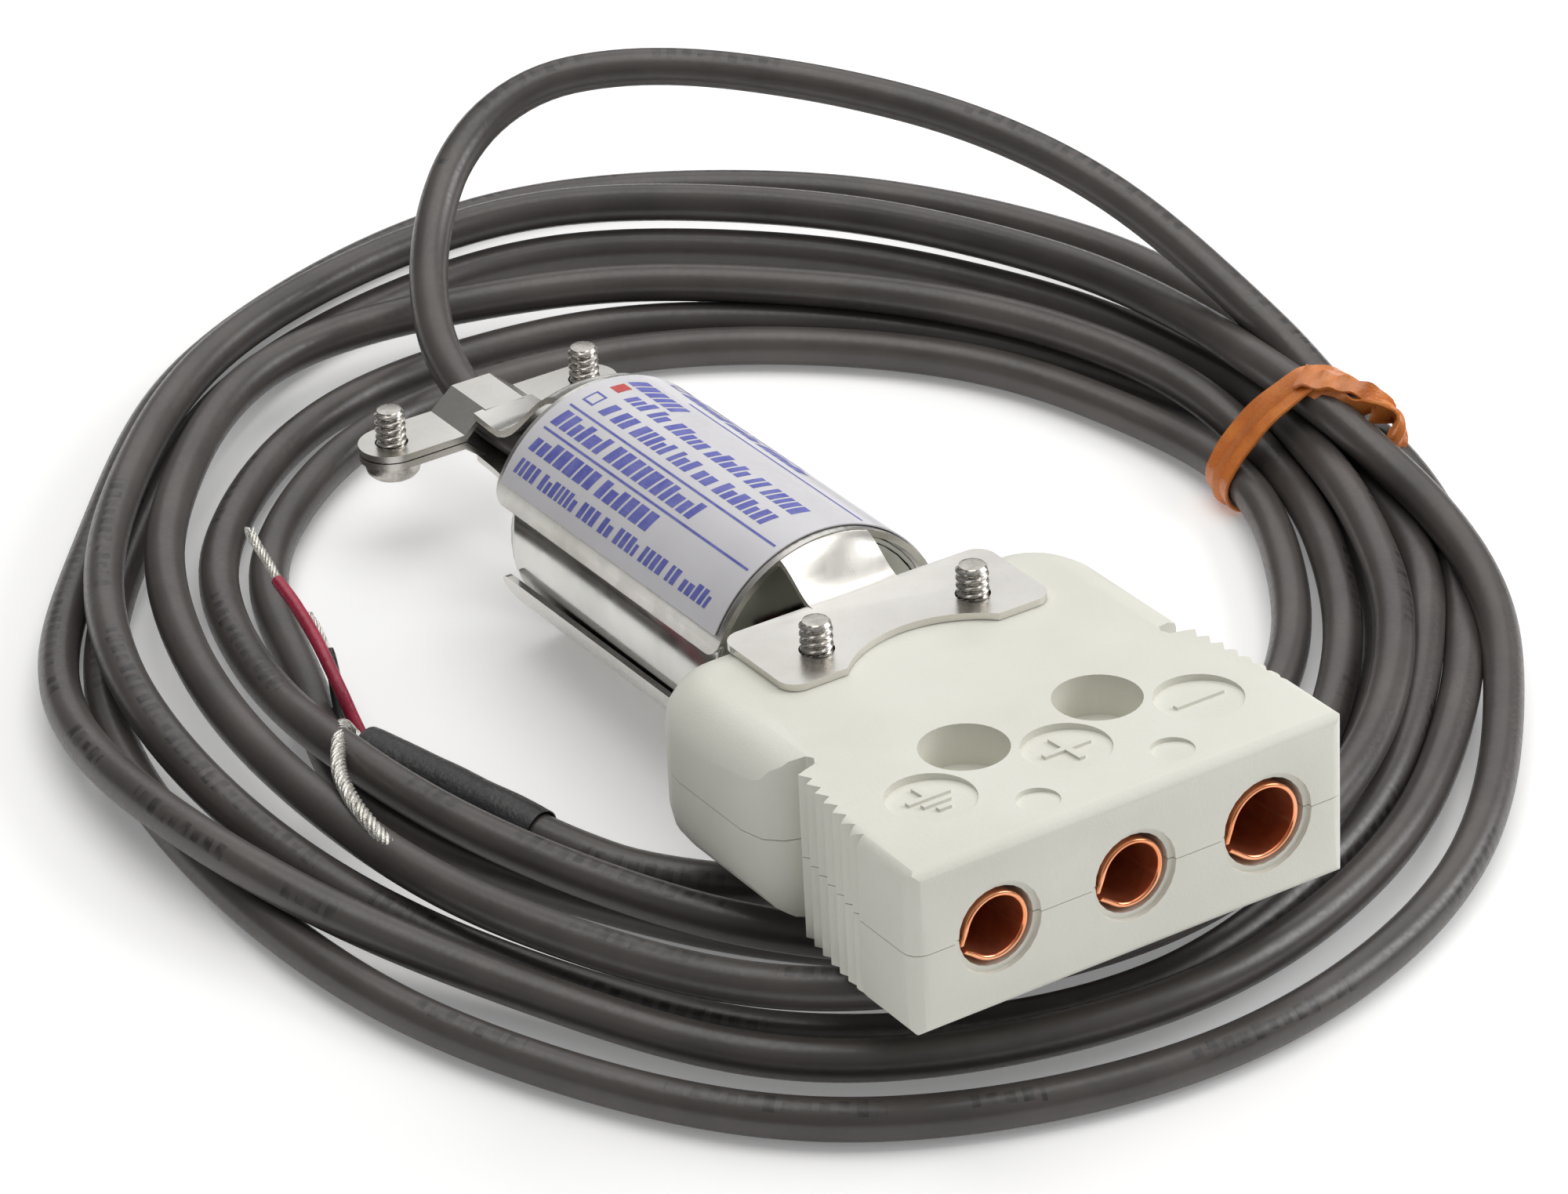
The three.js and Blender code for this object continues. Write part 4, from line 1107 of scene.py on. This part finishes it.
def greeked(vertices, faces, angle, height, start, words, breadth, draw):
    """A row of slanted blocks that reads along the label, from start towards the nose."""
    y = start
    half = height / 2 * ARC
    for word in words:
        for _ in range(word):
            width = height * breadth * draw.uniform(0.72, 1.25)
            tall = height * draw.choice([1.0, 1.0, 0.74])
            base = angle + half
            patch(vertices, faces, base, base - tall * ARC, y, y - width, BLOCK_SLANT * tall)
            y -= width + LETTER_GAP * height
        y -= WORD_GAP * height
    return y


# Each row: degrees round the shell, height in mm, where it starts, the number of
# blocks in each group, and their breadth.
ROWS = [
    (46.0, 1.25, 64.0, [7, 7], 0.62),
    (57.0, 1.25, 64.6, [6, 4, 6], 0.62),
    (76.5, 1.55, 66.6, [6], 0.56),
    (87.2, 1.45, 64.2, [3, 2, 5, 5, 2, 5], 0.50),
    (100.2, 1.45, 64.2, [1, 2, 5, 3, 2, 7], 0.54),
    (115.8, 1.62, 66.8, [6, 10], 0.60),
    (130.4, 1.55, 66.8, [7, 6], 0.62),
    (142.6, 1.30, 67.0, [4, 7, 3, 2, 4, 4, 2, 5], 0.40),
]
RULES = [(66.0, 62.0), (108.6, 66.9), (123.4, 66.9)]  # degrees round, where it starts
RULE_HALF = 0.55  # degrees
BOX_ANGLES = (55.0, 99.5)
BOX_Y = 65.9
BOX_HALF, BOX_LINE_HALF = 0.62, 0.09
FILLED_ANGLE = 86.5


def print_pieces():
    """The blue marks and the red square, each as one piece."""
    draw = random.Random(7)
    vertices, faces = [], []
    for angle, height, start, words, breadth in ROWS:
        end = greeked(vertices, faces, angle, height, start, words, breadth, draw)
        print("row at", angle, "ends at", round(end, 1))
    for angle, start in RULES:
        patch(vertices, faces, angle - RULE_HALF, angle + RULE_HALF, FILM_START + 0.6, start)
    thin = BOX_LINE_HALF
    side, reach = thin * ARC, 0.7 * ARC
    for angle in BOX_ANGLES:
        for edge in (-1, 1):
            middle = angle + edge * BOX_HALF * ARC
            patch(vertices, faces, middle - side, middle + side, BOX_Y - 0.7, BOX_Y + 0.7)
            across = BOX_Y + edge * BOX_HALF
            patch(vertices, faces, angle - reach, angle + reach, across - thin, across + thin)
    blue = piece("label_print_blue", vertices, faces, "print_blue")
    vertices, faces = [], []
    half = BOX_HALF * ARC
    patch(vertices, faces, FILLED_ANGLE - half, FILLED_ANGLE + half, BOX_Y - 0.6, BOX_Y + 0.6)
    red = piece("label_print_red", vertices, faces, "print_red")
    return blue, red


for made in print_pieces():
    print(made.name, "faces:", len(made.data.polygons))

# %% [markdown]
# ## The bared end
# Heat-shrink tube covers the end of the jacket. Out of it come a red and a
# black wire, and the drain wire, bent back over the tube. Bare conductors are
# strands twisted together, so each strand is its own thin sweep round the
# wire's line.

# %% Heat-shrink tube
SLEEVE_ROUTE = [(-20.9, 43.1, 1.95), (-23.4, 50.6, 1.95), (-26.2, 59, 1.95)]
SLEEVE_OUTER = 1.93
SLEEVE_INNER = 1.66
SLEEVE_STEP = 0.25
SLEEVE_SIDES = 28
RIPPLE = 0.012
GRIP, GRIP_REACH = 0.1, 0.6  # it shrinks tightest at its two ends


def shrink_tube():
    """A tube with a rippled outside and rounded ends, standing for the sleeve."""
    line = resample(on_floor(SLEEVE_ROUTE), SLEEVE_STEP * MM)
    _, across, over = turning_frames(line)
    sides, count = SLEEVE_SIDES, len(line)
    draw = random.Random(4)
    waves = [(draw.uniform(0.5, 1.6), draw.uniform(0, 6), draw.randint(1, 3)) for _ in range(5)]
    vertices, faces = [], []

    def ring(k, radius, ripple):
        for j in range(sides):
            angle = 2 * math.pi * j / sides
            travel = k * SLEEVE_STEP
            bump = sum(math.sin(f * travel + p + n * angle) for f, p, n in waves) * RIPPLE
            size = (radius + ripple * bump) * MM
            way = math.cos(angle) * across[k] + math.sin(angle) * over[k]
            vertices.append(line[k] + size * way)

    middle = (SLEEVE_OUTER + SLEEVE_INNER) / 2
    ring(1, SLEEVE_INNER, 0)
    ring(0, middle - 0.04, 0)
    ring(0, middle + 0.05, 0)
    for k in range(1, count - 1):
        near_end = min(k, count - 1 - k) * SLEEVE_STEP
        grip = GRIP * math.exp(-near_end / GRIP_REACH)
        ring(k, SLEEVE_OUTER - grip, 1)
    ring(count - 1, middle + 0.05, 0)
    ring(count - 1, middle - 0.04, 0)
    ring(count - 2, SLEEVE_INNER, 0)
    ring_faces(faces, len(vertices) // sides, sides)
    made = piece("shrink_tube", vertices, faces, "shrink_sleeve")
    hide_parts("end_sleeve")
    return fix_normals(made)


end_tube = shrink_tube()
print("tube faces:", len(end_tube.data.polygons))

# %% [markdown]
# ## Insulated wires
# The two cores are thin tubes of hard plastic. Where they were stripped the
# insulation draws in a little, so the sweep is narrower at its ends.

# %% Insulated wires
WIRE_RADIUS = 0.5
WIRE_STEP = 0.35
WIRE_SIDES = 14


def insulated(name, replaced, route, finish):
    """One core along its route, standing for its CAD node."""
    line = resample(on_floor(route), WIRE_STEP * MM)
    ease = np.minimum(np.arange(len(line)), np.arange(len(line))[::-1])
    radii = WIRE_RADIUS * MM * (1 - 0.12 * np.exp(-ease / 0.8))
    vertices, faces = [], []
    sweep_into(vertices, faces, line, radii, WIRE_SIDES)
    made = piece(name, vertices, faces, finish)
    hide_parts(replaced)
    return fix_normals(made)


RED_ROUTE = [
    (-26.0, 57.8, 1.9), (-25.8, 59.9, 2.1), (-25.9, 61.2, 3.2), (-26.0, 62.8, 4.8),
    (-25.7, 67.0, 7.0), (-25.7, 70.1, 8.4), (-25.8, 72.6, 9.2),
]
BLACK_ROUTE = [
    (-26.5, 57.8, 1.6), (-26.9, 59.8, 1.6), (-26.2, 62.2, 2.0), (-25.6, 64.1, 3.2),
    (-25.1, 65.6, 4.6), (-24.8, 66.9, 5.85),
]
red_wire = insulated("red_wire", "wire_red", RED_ROUTE, "red_insulation")
black_wire = insulated(
    "black_wire", "wire_black", BLACK_ROUTE, "black_insulation",
)
print("wire faces:", [len(o.data.polygons) for o in (red_wire, black_wire)])

# %% [markdown]
# ## Bare strands
# A stranded conductor is seven thin wires: six wound round one. Modelled one by
# one, they give the rope-like outline that a bump could only suggest, and each
# can end at its own length and open a little where it was cut.

# %% Twisted strands
STRAND_STEP = 0.16
STRAND_SIDES = 7
OUTER_STRANDS = 6
STRAND_APART = 2.02  # of a strand's radius, so that neighbours just don't touch
FRAY_REACH = 0.8


def strands(name, replaced, route, lay, strand, fray, seed):
    """Seven strands twisted with the given lay, opening a little at the cut end."""
    line = resample(on_floor(route), STRAND_STEP * MM)
    _, across, over = turning_frames(line)
    count = len(line)
    travel = np.arange(count) * STRAND_STEP
    draw = random.Random(seed)
    vertices, faces = [], []
    for k in range(OUTER_STRANDS):
        angle = 2 * math.pi * (k / OUTER_STRANDS + travel / lay)
        to_end = (count - 1 - np.arange(count)) * STRAND_STEP
        opening = fray * draw.uniform(0.3, 1.0) * np.exp(-to_end / FRAY_REACH)
        reach = strand * STRAND_APART * (1 + opening)
        path = line + MM * reach[:, None] * (
            np.cos(angle)[:, None] * across + np.sin(angle)[:, None] * over
        )
        stop = count - draw.randint(0, 4)
        sweep_into(vertices, faces, path[:stop], [strand * MM] * stop, STRAND_SIDES)
    sweep_into(vertices, faces, line, [strand * MM] * count, STRAND_SIDES)
    made = piece(name, vertices, faces, "tinned_strand")
    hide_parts(replaced)
    return fix_normals(made)


RED_TIP = [
    (-25.78, 72.1, 9.05), (-25.6, 74.3, 9.8), (-25.5, 76.1, 10.3), (-25.4, 77.5, 10.9),
]
BLACK_TIP = [(-24.85, 66.6, 5.6), (-24.8, 68.3, 6.85), (-24.95, 69.7, 7.5)]
DRAIN_ROUTE = [
    (-26.5, 57.8, 2.7), (-26.9, 59.7, 3.1), (-28.1, 58.9, 4.8), (-30.4, 55.4, 5.9),
    (-32.4, 51.7, 6.6), (-33.6, 47.8, 7.0), (-33.9, 44.4, 6.8), (-33.6, 41.4, 6.0),
]
red_tip = strands("red_wire_strands", "wire_red_tip", RED_TIP, 2.6, 0.125, 1.1, 3)
black_tip = strands("black_wire_strands", "wire_black_tip", BLACK_TIP, 2.6, 0.105, 0.8, 5)
drain = strands("drain_wire_strands", "drain_wire", DRAIN_ROUTE, 3.4, 0.2, 0.35, 9)
print("strand faces:", [len(o.data.polygons) for o in (red_tip, black_tip, drain)])

# %% [markdown]
# ## The tie
# A twist tie is a plastic ribbon with a wire down its middle. It has to lie
# round the turns wherever they really ended up, so its loop is the outline
# drawn tight round the cut ends of every turn at the tie's own angle. The two
# ends are then twisted together and folded down on the outside.

# %% Where the turns pass under the tie
NEAR_SIDE = 20  # only passes this far out from the coil's centre are under the tie
CIRCLE_POINTS = 36
FLOOR_GAP = 0.2


def crossings(line, angle):
    """Distance from the coil's centre and height of each pass through a half plane."""
    direction = np.array([math.cos(angle), math.sin(angle)])
    normal = np.array([-direction[1], direction[0]])
    flat = line[:, :2] - np.array(COIL_CENTRE)
    side = flat @ normal
    found = []
    for k in range(len(line) - 1):
        if side[k] * side[k + 1] < 0 and flat[k] @ direction > NEAR_SIDE:
            share = side[k] / (side[k] - side[k + 1])
            point = line[k] + share * (line[k + 1] - line[k])
            found.append(((point[:2] - np.array(COIL_CENTRE)) @ direction, point[2]))
    return found


def tight_outline(centres, reach, count):
    """The outline of circles of that radius round the centres, as even points."""
    cloud = []
    for x, z in centres:
        for a in np.linspace(0, 2 * math.pi, CIRCLE_POINTS, endpoint=False):
            cloud.append((x + reach * math.cos(a), max(z + reach * math.sin(a), FLOOR_GAP)))
    cloud = sorted(set((round(x, 4), round(z, 4)) for x, z in cloud))

    def chain(points):
        """One half of the convex hull of points that are already in order."""
        kept = []
        for p in points:
            while len(kept) > 1:
                (ax, az), (bx, bz) = kept[-2], kept[-1]
                if (bx - ax) * (p[1] - az) - (bz - az) * (p[0] - ax) > 0:
                    break
                kept.pop()
            kept.append(p)
        return kept

    hull = chain(cloud)[:-1] + chain(reversed(cloud))[:-1]
    loop = np.array(hull + hull[:1])
    along = np.r_[0, np.cumsum(np.linalg.norm(np.diff(loop, axis=0), axis=1))]
    even = np.linspace(0, along[-1], count, endpoint=False)
    return np.column_stack([np.interp(even, along, loop[:, axis]) for axis in range(2)])


tie_line = np.radians(TIE_ANGLE)
passes = crossings(lead_line, tie_line)
print("turns under the tie:", [tuple(round(v, 1) for v in p) for p in passes])

# %% [markdown]
# ## Section of the ribbon
# The section has flat wings and a raised rib over the wire. The same section
# serves the band and the knot, only narrower.

# %% Section and places for the tie
TIE_WIDTH = 3.3
TIE_THICK = 0.3


def ribbon_section(width):
    """Points across the ribbon: flat wings with a round rib in the middle."""
    half, crest = width / 2, TIE_THICK / 2
    wing = half - 0.06
    over = [
        (-half, 0.0), (-wing, crest), (-0.5, crest - 0.04), (-0.32, crest + 0.14),
        (0.0, crest + 0.3), (0.32, crest + 0.14), (0.5, crest - 0.04), (wing, crest),
    ]
    under = [(half, 0.0), (wing, -crest), (0.3, -crest), (-0.3, -crest), (-wing, -crest)]
    return over + under


def tie_point(radius, along, height):
    """A point by distance from the coil's centre, travel round it, and height."""
    x = COIL_CENTRE[0] + radius * math.cos(tie_line) - along * math.sin(tie_line)
    y = COIL_CENTRE[1] + radius * math.sin(tie_line) + along * math.cos(tie_line)
    return np.array([x, y + SHIFT_Y, height]) * MM


print("points across the ribbon:", len(ribbon_section(TIE_WIDTH)))

# %% [markdown]
# ## The band
# Springy ribbon doesn't pull quite flat against the turns, so the tight outline
# is bowed a little before the section is carried round it, with a slow sway and
# shallow creases.

# %% The band
OUTLINE_POINTS = 120
BOW_REACH, BOW_SPREAD, BOW = 18, 9.0, 1.04
EVEN_REACH, EVEN_SPREAD = 4, 2.0


def bell_curve(reach, spread):
    """Offsets from -reach to reach, and a weight for each."""
    offsets = np.arange(-reach, reach + 1)
    return offsets, np.exp(-((offsets / spread) ** 2))


def arched(outline):
    """The outline bowed out between the turns, and never inside them."""
    centre = outline.mean(axis=0)
    reach = np.linalg.norm(outline - centre, axis=1)
    offsets, weights = bell_curve(BOW_REACH, BOW_SPREAD)
    soft = sum(w * np.roll(reach, k) for k, w in zip(offsets, weights)) / weights.sum()
    soft = np.maximum(reach, soft * BOW)
    offsets, weights = bell_curve(EVEN_REACH, EVEN_SPREAD)
    smooth = sum(w * np.roll(soft, k) for k, w in zip(offsets, weights)) / weights.sum()
    bowed = centre + (outline - centre) * (np.maximum(smooth, reach) / reach)[:, None]
    bowed[:, 1] = np.maximum(bowed[:, 1], FLOOR_GAP)
    return bowed


def tie_band():
    """Vertices and faces of the band, and the outline it follows."""
    outline = arched(tight_outline(passes, CABLE / 2 + 0.2, OUTLINE_POINTS))
    centre = outline.mean(axis=0)
    section = ribbon_section(TIE_WIDTH)
    draw = random.Random(11)
    phase = [draw.uniform(0, 6.28) for _ in range(4)]
    vertices, faces = [], []
    count = len(outline)
    for k, (radius, height) in enumerate(outline):
        before, after = outline[k - 1], outline[(k + 1) % count]
        run = (after - before) / np.linalg.norm(after - before)
        out = np.array([run[1], -run[0]])
        if np.dot(out, outline[k] - centre) < 0:
            out = -out
        turn = 2 * math.pi * k / count
        sway = 0.35 * math.sin(turn + phase[0]) + 0.18 * math.sin(3 * turn + phase[1])
        for across, up in section:
            crease = 0.05 * math.sin(9 * turn + phase[2]) * abs(across) / TIE_WIDTH
            width = across * (1 + 0.08 * math.sin(2 * turn + phase[3]))
            at = outline[k] + out * (up + crease + TIE_THICK / 2)
            vertices.append(tie_point(at[0], width + sway, max(at[1], 0.02)))
    ring_faces(faces, count, len(section))
    return vertices, faces, outline


band_vertices, band_faces, band_outline = tie_band()
print("band faces:", len(band_faces))

# %% [markdown]
# ## The knot
# Twisted ribbon crumples in a way no formula gives. Three short ribbons are
# enough to suggest it: one lies flat and folds down, and two crumple beneath
# it, each turning about its own line, with ruffled edges.

# %% The knot
RIBBON_STEP = 0.3


def ribbon_into(vertices, faces, line, width, twist, start_turn, taper, seed):
    """A ribbon along a line, turning about it, with crinkled edges."""
    _, across, over = turning_frames(line)
    section = ribbon_section(width)
    draw = random.Random(seed)
    ruffles = [
        (draw.uniform(2.0, 3.6), draw.uniform(0, 6), draw.uniform(0.12, 0.26))
        for _ in range(2)
    ]
    start = len(vertices)
    count = len(line)
    for k in range(count):
        share = k / (count - 1)
        turn = start_turn + twist * share
        flat = math.cos(turn) * across[k] + math.sin(turn) * over[k]
        up = math.cos(turn) * over[k] - math.sin(turn) * across[k]
        narrow = 1 - taper * math.sin(math.pi * share)
        for a, b in section:
            pace, start_at, size = ruffles[0 if a < 0 else 1]
            ruffle = size * math.sin(pace * k * RIBBON_STEP + start_at)
            wave = ruffle * (abs(a) / (width / 2)) ** 2
            vertices.append(line[k] + MM * (a * narrow * flat + (b + wave) * up))
    tube_faces(faces, start, count, len(section))


# Each ribbon: points (out, along, up) from the band's outer and highest point, then
# its width, how far it turns on the way, the turn it starts at, and how it narrows.
KNOT = [
    ([(-5.6, 0.4, 0.30), (-4.6, -1.2, 0.55), (-3.2, -2.6, 0.6), (-1.9, -3.9, 0.3),
      (-1.1, -4.8, -0.6), (-1.3, -5.3, -1.9)], 2.5, 0.6, 0.2, 0.45),
    ([(-4.9, -0.9, 0.2), (-4.0, -2.6, -0.6), (-2.6, -4.0, -0.9), (-1.4, -5.2, -0.2),
      (-0.6, -6.0, -1.1), (-1.0, -6.7, -2.5)], 2.3, 2.4, 0.6, 0.3),
    ([(-1.7, -5.0, -0.8), (-0.7, -6.0, -0.7), (-0.6, -6.9, -1.6), (-1.3, -7.3, -2.8)],
     1.9, 2.2, 1.5, 0.0),
]


def twist_tie():
    """The band and its knot as one piece, standing for the CAD tie."""
    vertices, faces = list(band_vertices), list(band_faces)
    outer, high = band_outline.max(axis=0)
    for number, (route, width, twist, start_turn, taper) in enumerate(KNOT):
        spine = [tie_point(outer + out, along, high + up) for out, along, up in route]
        line = resample(spine, RIBBON_STEP * MM)
        ribbon_into(vertices, faces, line, width, twist, start_turn, taper, seed=20 + number)
    print("tie reaches, mm:", round(outer, 1), round(high, 1))
    made = piece("ribbon_tie", vertices, faces, "tie_ribbon")
    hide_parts("twist_tie")
    return fix_normals(made)


ribbon = twist_tie()
print("tie faces:", len(ribbon.data.polygons))

# %% [markdown]
# ## Finishes for what is inside
# The circuit, the inner leads and the terminals can hardly be seen from outside,
# but each has the surface it would have in the hand. Their CAD shapes are right as
# they are, so only their material slots change.

# %% Material slots of the pieces that stay
INSIDE = {
    "circuit_board": "board_mask",
    "converter_chip": "chip_epoxy",
    "loop_regulator": "chip_epoxy",
    "smoothing_capacitor": "capacitor_shell",
    "cable_core_red": "red_insulation",
    "cable_core_black": "black_insulation",
    "inner_lead_ground": "white_insulation",
    "inner_lead_positive": "red_insulation",
    "inner_lead_negative": "black_insulation",
    "terminal_screw_ground": "terminal_nickel",
    "terminal_screw_positive": "terminal_nickel",
    "terminal_screw_negative": "terminal_nickel",
}
for title, finish in INSIDE.items():
    for material_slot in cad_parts[title].material_slots:
        material_slot.material = SKIN[finish]
print("pieces inside:", len(INSIDE))

# %% [markdown]
# ## Floor and light
# A pale floor and a few broad soft lamps. The big one overhead does most of the
# work, a second from the right lifts the lead there, and a card behind gives the
# metal something bright to mirror. A bare point lamp would leave hard shadows
# and tiny highlights instead.

# %% Floor
FLOOR_HALF = 3.0  # metres
FLOOR_GLOW = 0.17


def make_floor():
    """A wide pale sheet with a faint grain, marked as no part of the object."""
    made = bpy.data.materials.new("pale_floor")
    made.use_nodes = True
    tree = made.node_tree
    shader = tree.nodes["Principled BSDF"]
    shader.inputs["Roughness"].default_value = 0.9
    shader.inputs["Specular IOR Level"].default_value = 0.1
    shader.inputs["Emission Color"].default_value = (1, 1, 1, 1)
    shader.inputs["Emission Strength"].default_value = FLOOR_GLOW
    grain = node(tree, "ShaderNodeTexNoise", (-600, 200), inputs={"Scale": 60.0, "Detail": 3.0})
    tones = node(tree, "ShaderNodeMix", (-300, 200), data_type="RGBA")
    tones.inputs["A"].default_value = (0.95, 0.95, 0.95, 1)
    tones.inputs["B"].default_value = (0.97, 0.97, 0.97, 1)
    join(tree, grain, "Fac", tones, "Factor")
    tree.links.new(tones.outputs["Result"], shader.inputs["Base Color"])
    half = FLOOR_HALF
    corners = [(-half, -half, 0), (half, -half, 0), (half, half, 0), (-half, half, 0)]
    mesh = bpy.data.meshes.new("floor")
    mesh.from_pydata(corners, [], [(0, 1, 2, 3)])
    mesh.materials.append(made)
    floor = bpy.data.objects.new("floor", mesh)
    bpy.context.scene.collection.objects.link(floor)
    floor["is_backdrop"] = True
    return floor


make_floor()
print("floor, metres across:", 2 * FLOOR_HALF)

# %% [markdown]
# ## Lamps
# Area lamps act as softboxes: their size sets how soft the shadow edge is, and
# their outline is what polished metal shows.

# %% Lamps
def softbox(name, at, target, width, height, power, tint=(1, 1, 1)):
    """A rectangular lamp in watts, turned to face the target. Lengths in metres."""
    light = bpy.data.lights.new(name, "AREA")
    light.shape = "RECTANGLE"
    light.size, light.size_y = width, height
    light.energy = power
    light.color = tint
    made = bpy.data.objects.new(name, light)
    bpy.context.scene.collection.objects.link(made)
    aim = (Vector(target) - Vector(at)).to_track_quat("-Z", "Y").to_matrix().to_4x4()
    made.matrix_world = Matrix.Translation(at) @ aim
    return made


softbox("overhead", (0.05, 0.12, 0.75), (0, 0, 0), 0.8, 0.6, 2.9, (1, 0.99, 0.96))
softbox("right_side", (0.62, -0.22, 0.42), (0, 0, 0.01), 0.45, 0.35, 2.5)
softbox("back_card", (0.40, 0.62, 0.50), (0, 0, 0.02), 0.75, 0.5, 0.9)
softbox("left_strip", (-0.62, -0.05, 0.30), (0, 0.02, 0.02), 0.16, 0.5, 0.12)

# %% [markdown]
# ## Sky
# A plain white world would light every side alike and leave the metal flat.
# This one is bright overhead, dim at the horizon, and dimmer again towards the
# left, so the left faces fall into a soft shade.

# %% Sky
# Direction from and to, then brightness from and to.
SKY_RISE = (0.0, 0.75, 0.10, 0.52)
SKY_LEFT = (-0.9, 0.3, 0.35, 1.0)


def sky_ramp(tree, split, axis, limits, at):
    """Brightness by one part of the direction, eased between its two limits."""
    ramp = node(tree, "ShaderNodeMapRange", at, interpolation_type="SMOOTHSTEP")
    for socket, value in enumerate(limits, start=1):
        ramp.inputs[socket].default_value = value
    join(tree, split, axis, ramp, 0)
    return ramp


def make_sky():
    """The world's brightness: its rise with height, times its fall to the left."""
    world = bpy.data.worlds.new("studio")
    world.use_nodes = True
    tree = world.node_tree
    background = tree.nodes["Background"]
    background.inputs["Strength"].default_value = 1.0
    place = node(tree, "ShaderNodeTexCoord", (-900, 0))
    split = node(tree, "ShaderNodeSeparateXYZ", (-700, 0))
    join(tree, place, "Generated", split, 0)
    rise = sky_ramp(tree, split, "Z", SKY_RISE, (-500, 0))
    shade = sky_ramp(tree, split, "X", SKY_LEFT, (-500, -300))
    level = node(tree, "ShaderNodeMath", (-250, 0), operation="MULTIPLY")
    join(tree, rise, 0, level, 0)
    join(tree, shade, 0, level, 1)
    join(tree, level, 0, background, "Color")
    return world


bpy.context.scene.world = make_sky()
bpy.context.scene.view_settings.view_transform = "Standard"
print("world:", bpy.context.scene.world.name)

# %% [markdown]
# ## Sizes
# Detail may stand a little proud of the CAD box, so the growth of the visual box
# over the CAD box is printed along each axis.

# %% Sizes
low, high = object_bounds()
grown = [((h - l) - (ch - cl)) / MM for l, h, cl, ch in zip(low, high, cad_low, cad_high)]
print("visual box minus CAD box, mm:", [round(g, 2) for g in grown])
